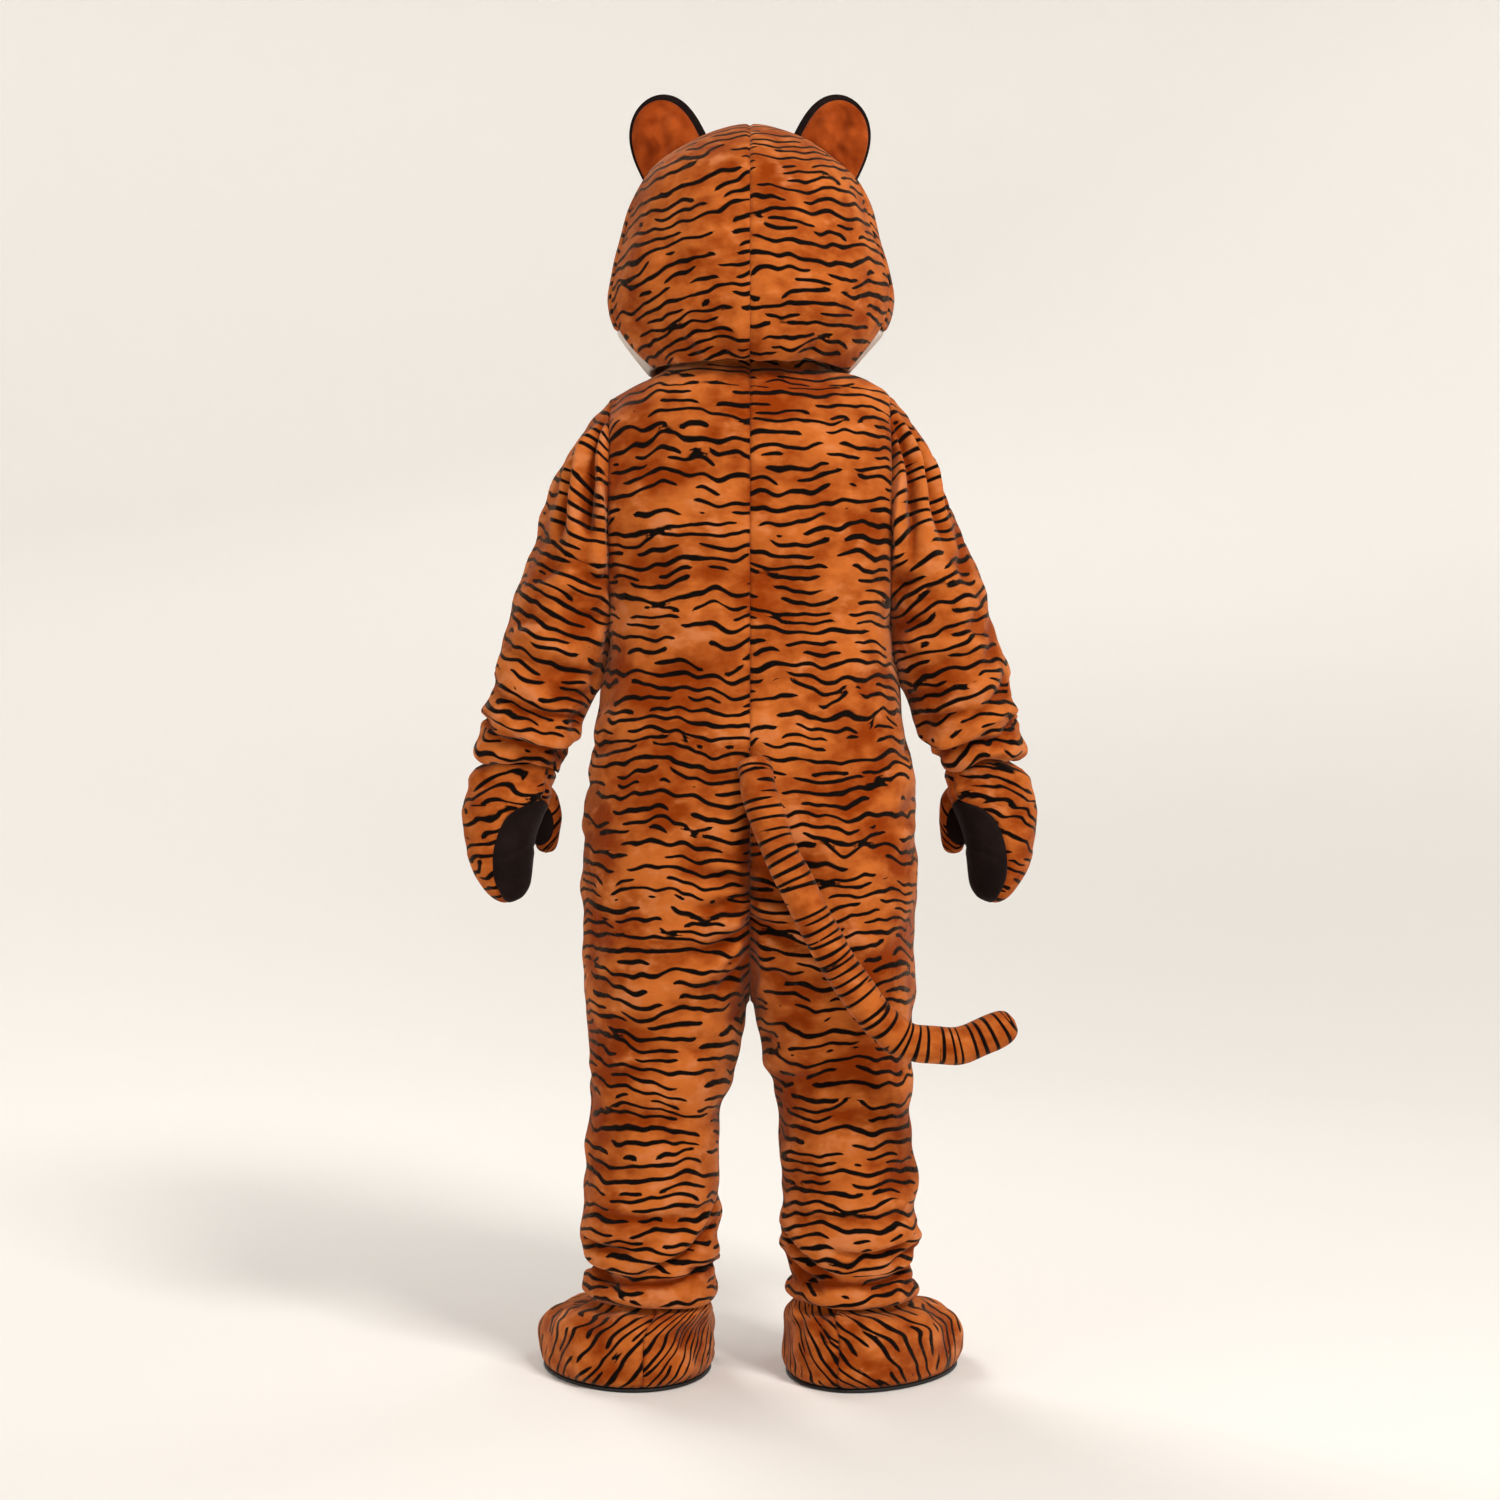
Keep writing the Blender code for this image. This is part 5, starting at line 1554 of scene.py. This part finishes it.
class COSTUME_OT_ears(Operator):
    """Adds the two ears, each an orange back on a black front"""

    bl_idname = "costume.ears"
    bl_label = "Ears"

    def execute(self, context):
        gap = 1.3 * SEAM_GAP
        for side_name, side in SIDES.items():
            back = (EAR_BACK_INSET, EAR_BACK_SHIFT)
            self.pad("ear_back_" + side_name, side, *back, gap, "orange_plush")
            self.pad("ear_front_" + side_name, side, 0.0, 0.0, -gap, "black_plush")
        return {"FINISHED"}

    def pad(self, name, side, inset, shift, y_from, slot):
        """A rounded dome: its half width falls with height, it is cupped forward towards
        its edges, and its face is highest in the middle, with crumples in it."""
        u, v = grid(towards_one(46, -1), towards_one(36))
        outer_end, inner_end = np.array(EAR_BASE_OUTER), np.array(EAR_BASE_INNER)
        middle = (outer_end + inner_end) / 2
        across = unit(inner_end - outer_end)
        up = np.array([across[1], -across[0]])
        half = (EAR["half_width"] - inset) * np.sqrt(np.maximum(1 - v ** EAR["round"], 0))
        aside = half * u + EAR["skew"] * v - shift
        rise = (EAR["length"] - inset) * v + EAR_SAG * (1 - u**2) * (1 - v)
        x = middle[0] + across[0] * aside + up[0] * rise
        z = middle[1] + across[1] * aside + up[1] * rise
        cup = -EAR["cup"] * (aside / EAR["half_width"]) ** 2
        dome = np.sqrt(np.maximum(1 - u**2, 0)) * np.sqrt(np.maximum(1 - v**2, 0))
        crumple = EAR_CRUMPLE * folds(EAR_FOLDS, aside, rise) * (1 - u**2) * (1 - v**4)
        full = EAR_EDGE + np.maximum((EAR_PAD - EAR_EDGE) * dome + crumple, 0)
        flat_face = stack(side * x, y_from + cup, z)
        full_face = stack(side * x, y_from + cup + np.sign(y_from) * full, z)
        chart = np.stack([aside, rise], axis=-1)
        made = wall(name + "_pad", full_face, flat_face, chart, False, (False, True))
        finish_piece(made, name, slot)


class COSTUME_OT_mitts(Operator):
    """Adds the two mitts: striped shell, black palm, thumb and its black pad"""

    bl_idname = "costume.mitts"
    bl_label = "Mitts"

    curl = 5.5  # how fast the stripes drop towards the outer edge
    curl_from = 0.352  # the distance from the middle of the body at which they start to
    thumb_girth = 0.11
    pad_reach = (0.16, 0.19)  # the thumb pad's half size, as shares of its girth and length
    pad_chart = 0.02
    pad_lift = 0.0006
    front_shift = (0.012, 0.006)  # of the folds in front, so that they don't match the back's

    def execute(self, context):
        for side_name, side in SIDES.items():
            u, v = grid(spaced(104, 0.4), bunched(74))
            height = MITT_LOW + (MITT_HIGH - MITT_LOW) * v
            start, stop = read(MITT, "height", "palm_to palm_from", height)
            points = mitt_points(side, start + (stop + 360 - start) * u, height)
            across = side * points[..., 0]
            outward = np.maximum(across - self.curl_from, 0)
            up = height + self.curl * outward**2
            cloth(
                "mitt_shell_" + side_name,
                "striped_plush",
                points,
                on_cloth("mitt_shell", run(points, 0), up, side),
                self.relief(points, side),
                poles=(True, False),
                tips=((0, 0, -1), None),
                seams=("first", "last"),
                hems=("high",),
                held="stretched",
            )
            u, v = grid(spaced(44, 0.4), bunched(60))
            height = MITT_LOW + (MITT_PALM_TOP - MITT_LOW) * v
            start, stop = read(MITT, "height", "palm_from palm_to", height)
            points = mitt_points(side, start + (stop - start) * u, height)
            cloth(
                "mitt_palm_" + side_name,
                "black_plush",
                points,
                np.stack([run(points, 0), height], axis=-1),
                folds(PALM_FOLDS, side * points[..., 0], height),
                poles=(True, True),
                tips=((0, 0, -1), None),
                seams=("first", "last"),
                held="stretched",
            )
            self.thumb(side_name, side)
        return {"FINISHED"}

    def relief(self, points, side):
        """The folds of the mitt's back, and all but the first of them again in front."""
        x, y, z = np.moveaxis(points, -1, 0)
        behind = ease(y, -0.010, 0.010)
        height = folds(MITT_BACK_FOLDS, side * x, z) * behind
        shift_across, shift_up = self.front_shift
        in_front = folds(MITT_BACK_FOLDS[1:], side * x + shift_across, z + shift_up)
        height += in_front * (1 - behind)
        height += ripple(points, 0.05, 0.0008, 31)
        return height * ease(z, MITT_LOW, MITT_LOW + 0.03)

    def thumb(self, side_name, side):
        """A short tube, closed at its tip, with a black pad on the side of the palm."""
        across = (-THUMB_SIDE[1], THUMB_SIDE[0], 0.0)
        u, v = grid(np.linspace(0, 1, 45), spaced(44, 0.3))
        points = tube_points(THUMB, side, across, u, v)
        cloth(
            "thumb_" + side_name,
            "striped_plush",
            points[:-1],
            on_cloth("thumb", u * self.thumb_girth, run(points, 1), side),
            ripple(points, 0.04, 0.0005, 33)[:-1] * ease(v, 0, 0.2)[:-1],
            ring=True,
            poles=(False, True),
            tips=(None, (0, 0, -1)),
            held="stretched",
        )
        around, share = grid(np.linspace(0, 2 * np.pi, 49), towards_one(14))
        oval = np.stack([share * np.cos(around), share * np.sin(around)], axis=-1)
        reach_round, reach_along = self.pad_reach
        at_round = 0.5 + reach_round * share * np.cos(around)
        at_along = 0.62 + reach_along * share * np.sin(around)
        points = tube_points(THUMB, side, across, at_round, at_along)[:-1]
        outward = normals_of(points, True, (True, False), (None, None))
        middle = np.array(THUMB_MIDDLE) * (side, 1, 1)
        outward = outward * np.sign((outward * (points - middle)).sum())
        lift = PAD_GAP + PATCH + self.pad_lift * np.sqrt(1 - share[:-1, :, None] ** 2)
        outer, inner = points + outward * lift, points + outward * PAD_GAP
        name = "thumb_pad_" + side_name
        made = wall(name + "_cloth", outer, inner, oval * self.pad_chart, True, (True, False))
        finish_piece(made, name, "black_plush", *oval_cut(points), "stretched")


class COSTUME_OT_tail(Operator):
    """Adds the stuffed tail, from the centre-back seam to its blunt tip"""

    bl_idname = "costume.tail"
    bl_label = "Tail"

    ring_share = 1.30  # how much closer the tail's rings are than the stripes elsewhere
    round_share = 0.4  # how much longer they are round it
    inner_share = 0.96  # of the way to the tail's middle, where the filling's inner face lies

    def execute(self, context):
        u, v = grid(np.linspace(0, 1, 49), np.linspace(0, 1, 190))
        points = tube_points(TAIL, 1.0, (0, 1, 0), u, v)
        along = np.broadcast_to(run(points, 1).mean(axis=0)[None, :], u.shape)
        girth = 2 * np.pi * TAIL_RADIUS
        height = folds(TAIL_FOLDS, u * girth, along, girth) + ripple(points, 0.06, 0.0008, 41)
        height *= ease(v, 1.0, 0.93) * ease(v, 0.0, 0.04)
        outward = normals_of(points[:-1], True, (False, True), (None, None))
        points = points[:-1] + outward * height[:-1, :, None]
        behind = suit_back_depth(points[..., 0], points[..., 2]) + SEAM_GAP
        points[..., 1] = np.maximum(points[..., 1], behind)
        chart = on_cloth("tail", u * girth * self.round_share, along * self.ring_share)
        inner = points + (points.mean(axis=0, keepdims=True) - points) * self.inner_share
        made = wall("tail_stuffed", points, inner, chart, True, (False, True))
        finish_piece(made, "tail", "striped_plush")
        return {"FINISHED"}


class COSTUME_OT_shoes(Operator):
    """Adds the two shoe covers, in halves joined at heel and toe, and their soles"""

    bl_idname = "costume.shoes"
    bl_label = "Shoe covers"

    slant = {  # how steeply the stripes climb at the heel
        ("left", "outer"): 0.95,
        ("left", "inner"): 1.05,
        ("right", "outer"): -1.0,
        ("right", "inner"): -0.95,
    }
    heel_reach = 0.16

    def execute(self, context):
        for side_name, side in SIDES.items():
            for half, way in (("outer", -side), ("inner", side)):
                u, v = grid(spaced(104, 0.4), spaced(52, 0.3))
                points = shoe_points(side_name, 90 + way * 180 * u, SHOE_TOP * v)
                across, up = run(points, 0), run(points, 1)
                heel = np.exp(-((across / self.heel_reach) ** 2))
                lean = self.slant[side_name, half] * -way
                over = across * 0.90 + lean * up * heel * 0.8
                number = {"left": 0, "right": 2}[side_name] + (half == "inner")
                chart = np.stack([up + 43.0 + 3.1 * number, over + 47.0 + 5.3 * number], axis=-1)
                height = ripple(points, 0.09, 0.0024, 51 + number)
                height += ripple(points, 0.04, 0.0009, 61)
                height *= ease(v, 0.0, 0.15) * ease(v, 0.95, 0.72)
                name = "shoe_" + half + "_" + side_name
                cloth(
                    name,
                    "striped_plush",
                    points,
                    chart,
                    height,
                    seams=("first", "last", "low"),
                    hems=("high",),
                    held="stretched",
                )
            self.sole(side_name)
        return {"FINISHED"}

    def sole(self, side_name):
        """A flat sheet with a rounded rim, from the same ring as the cover's edge."""
        turn = np.linspace(0, 360, 161)[:-1]
        rim = shoe_points(side_name, turn, np.zeros(160))
        centre = rim.mean(axis=0)
        high = rim[0, 2] - SEAM_GAP
        share = np.array([0.0, 0.5, 0.90, 0.985, 1.0, 1.0, 0.985, 0.90, 0.5, 0.0])
        level = np.array([0.0] * 3 + [0.0006, 0.002, high - 0.0015, high - 0.0003] + [high] * 3)
        points = centre + (rim - centre)[:, None, :] * share[None, :, None]
        points[..., 2] = level[None, :]
        made = closed_sheet("sole_" + side_name + "_sheet", points)
        finish_piece(made, "sole_" + side_name, "sole_rubber")


class COSTUME_OT_stage(Operator):
    """Adds the pale floor, the soft lights and the camera"""

    bl_idname = "costume.stage"
    bl_label = "Stage"

    reach = 3.6  # of the level floor, and the radius of the bend beyond it
    top = 2.0  # how far the backdrop goes straight up beyond the bend
    level, bent = 0.3, 0.5  # shares of the rows that lie on the floor and in the bend
    world_colour, world_strength = (1.0, 0.985, 0.965, 1.0), 0.09
    sensor_mm = 36.0
    lights = (  # name, place, size, watts, colour
        ("key", (-2.0, 3.2, 3.1), 1.2, 215.0, (1.0, 0.97, 0.93)),
        ("fill", (3.6, 3.0, 1.6), 3.0, 20.0, (0.97, 0.98, 1.0)),
        ("front_key", (2.2, -3.7, 3.1), 2.2, 150.0, (1.0, 0.98, 0.95)),
        ("front_fill", (-3.6, -3.0, 2.2), 3.0, 40.0, (0.97, 0.98, 1.0)),
    )

    def execute(self, context):
        scene = context.scene
        turn, v = grid(np.linspace(0, 2 * np.pi, 97), np.linspace(0, 1, 40))
        bend = np.clip((v - self.level) / self.bent, 0, 1) * np.pi / 2
        upright = (v - self.level - self.bent) / (1 - self.level - self.bent)
        radius = self.reach * (np.clip(v / self.level, 0, 1) + np.sin(bend))
        rise = self.reach * (1 - np.cos(bend)) + self.top * np.clip(upright, 0, 1)
        points = stack(radius * np.cos(turn), radius * np.sin(turn), rise)[:-1]
        floor = closed_sheet("stage_floor", points)
        # The paper glows, not at all on the floor and more up the backdrop: painted light that
        # brightens the backdrop.
        paper = Finish("studio_paper", 0.9, Specular_IOR_Level=0.1, Emission_Strength=0.30)
        stage_colour = tuple(scene.costume_colours.stage)
        paper.put(paper.shader.inputs["Base Color"], stage_colour)
        _, _, height = paper.split(paper.space())
        glow = paper.blend(height.step(-1.3, 0.5), (0.0, 0.0, 0.0, 1.0), stage_colour)
        paper.put(paper.shader.inputs["Emission Color"], glow)
        floor.data.materials.append(paper.material)
        for light in self.lights:
            self.light(*light)
        world = bpy.data.worlds.new("soft_room")
        world.use_nodes = True
        sky = world.node_tree.nodes["Background"]
        sky.inputs[0].default_value = self.world_colour
        sky.inputs[1].default_value = self.world_strength
        scene.world = world
        scene.view_settings.view_transform = "Standard"
        sizes = scene.costume_sizes
        camera = bpy.data.cameras.new("camera")
        camera.lens, camera.sensor_width = sizes.lens, self.sensor_mm
        placed = bpy.data.objects.new("camera", camera)
        placed.location = (0.0, sizes.camera_distance, sizes.camera_height - HOLD_HEIGHT)
        placed.rotation_euler = (np.pi / 2, 0.0, np.pi)
        scene.collection.objects.link(placed)
        scene.camera = placed
        return {"FINISHED"}

    def light(self, name, place, size, power_watts, colour):
        """A square soft light that looks at the middle of the costume."""
        lamp = bpy.data.lights.new(name, "AREA")
        lamp.shape, lamp.size, lamp.energy, lamp.color = "SQUARE", size, power_watts, colour
        placed = bpy.data.objects.new(name, lamp)
        bpy.context.scene.collection.objects.link(placed)
        placed.location = place
        toward = Vector((0, 0, -0.5)) - Vector(place)
        placed.rotation_euler = toward.to_track_quat("-Z", "Y").to_euler()


# ---------------------------------------------------------------- properties and panel


class CostumeSizes(PropertyGroup):
    seam_depth: FloatProperty(
        name="Seam depth", description="How far a seam draws in", default=0.0026, unit="LENGTH"
    )
    seam_width: FloatProperty(
        name="Seam width",
        description="Half width of a seam's valley",
        default=0.0034,
        unit="LENGTH",
    )
    fold_strength: FloatProperty(
        name="Folds",
        description="Share of the depth of the suit and head's folds",
        default=1.35,
        min=0.0,
        max=1.5,
    )
    stripe_pitch: FloatProperty(
        name="Stripe pitch", description="From stripe to stripe", default=0.0165, unit="LENGTH"
    )
    stripe_width: FloatProperty(
        name="Stripe width", description="Of a full stripe", default=0.0057, unit="LENGTH"
    )
    stripe_length: FloatProperty(
        name="Stripe length", description="Between its breaks", default=0.110, unit="LENGTH"
    )
    lens: FloatProperty(name="Lens", description="Focal length in millimetres", default=65.8)
    camera_distance: FloatProperty(
        name="Camera distance", description="From the middle", default=4.055, unit="LENGTH"
    )
    camera_height: FloatProperty(
        name="Camera height", description="Above the floor", default=0.926, unit="LENGTH"
    )


def colour_property(label, what, value):
    return FloatVectorProperty(
        name=label, description=what, subtype="COLOR", size=4, min=0, max=1, default=(*value, 1.0)
    )


class CostumeColours(PropertyGroup):
    # Deep and pale orange are blended by random mottling, and by painted shade in fold troughs and
    # a painted highlight on ridges.
    orange_deep: colour_property("Orange, deep", "Darkest plush", (0.250, 0.036, 0.003))
    orange_pale: colour_property("Orange, pale", "Lightest plush", (0.540, 0.140, 0.026))
    # Worn smudges of turned nap, also laid on fold ridges as a painted highlight.
    orange_worn_and_highlight: colour_property("Orange, worn", "Smudges of turned nap", (0.610, 0.215, 0.085))
    stripe: colour_property("Stripe", "Printed stripes", (0.0060, 0.0040, 0.0032))
    # Deep and pale of the ears, face and palms: random mottling, and where a piece carries the
    # ridge attribute, painted shade in hollows and a painted highlight on ridges.
    ear_deep: colour_property("Ear, deep", "Ear backs in their hollows", (0.130, 0.012, 0.001))
    ear_pale: colour_property("Ear, pale", "Ear backs in the light", (0.450, 0.085, 0.014))
    cream_deep: colour_property("Cream, deep", "Face in its hollows", (0.62, 0.52, 0.45))
    cream_pale: colour_property("Cream, pale", "Face", (0.80, 0.73, 0.67))
    black_deep: colour_property("Black, deep", "Palms in their hollows", (0.009, 0.006, 0.0055))
    black_pale: colour_property("Black, pale", "Palms", (0.019, 0.012, 0.011))
    stage: colour_property("Stage", "Floor and backdrop", (0.86, 0.835, 0.80))


PIECES = (
    COSTUME_OT_suit,
    COSTUME_OT_sleeves,
    COSTUME_OT_head,
    COSTUME_OT_face,
    COSTUME_OT_ears,
    COSTUME_OT_mitts,
    COSTUME_OT_tail,
    COSTUME_OT_shoes,
    COSTUME_OT_stage,
)


class COSTUME_PT_panel(Panel):
    """Lists the pieces and the sizes that they share"""

    bl_idname = "COSTUME_PT_panel"
    bl_label = "Tiger Costume"
    bl_space_type = "VIEW_3D"
    bl_region_type = "UI"
    bl_category = "Costume"

    def draw(self, context):
        for group in (context.scene.costume_sizes, context.scene.costume_colours):
            for name in group.bl_rna.properties.keys():
                if name not in ("rna_type", "name"):
                    self.layout.prop(group, name)
        for piece in PIECES:
            self.layout.operator(piece.bl_idname)


CLASSES = (CostumeSizes, CostumeColours, *PIECES, COSTUME_PT_panel)


def register():
    for made in CLASSES:
        bpy.utils.register_class(made)
    bpy.types.Scene.costume_sizes = PointerProperty(type=CostumeSizes)
    bpy.types.Scene.costume_colours = PointerProperty(type=CostumeColours)


def unregister():
    del bpy.types.Scene.costume_colours
    del bpy.types.Scene.costume_sizes
    for made in reversed(CLASSES):
        bpy.utils.unregister_class(made)


def main():
    register()
    for piece in PIECES:
        group, name = piece.bl_idname.split(".")
        if getattr(getattr(bpy.ops, group), name)() != {"FINISHED"}:
            raise RuntimeError(piece.bl_label + " could not be made")


if __name__ == "__main__":
    main()
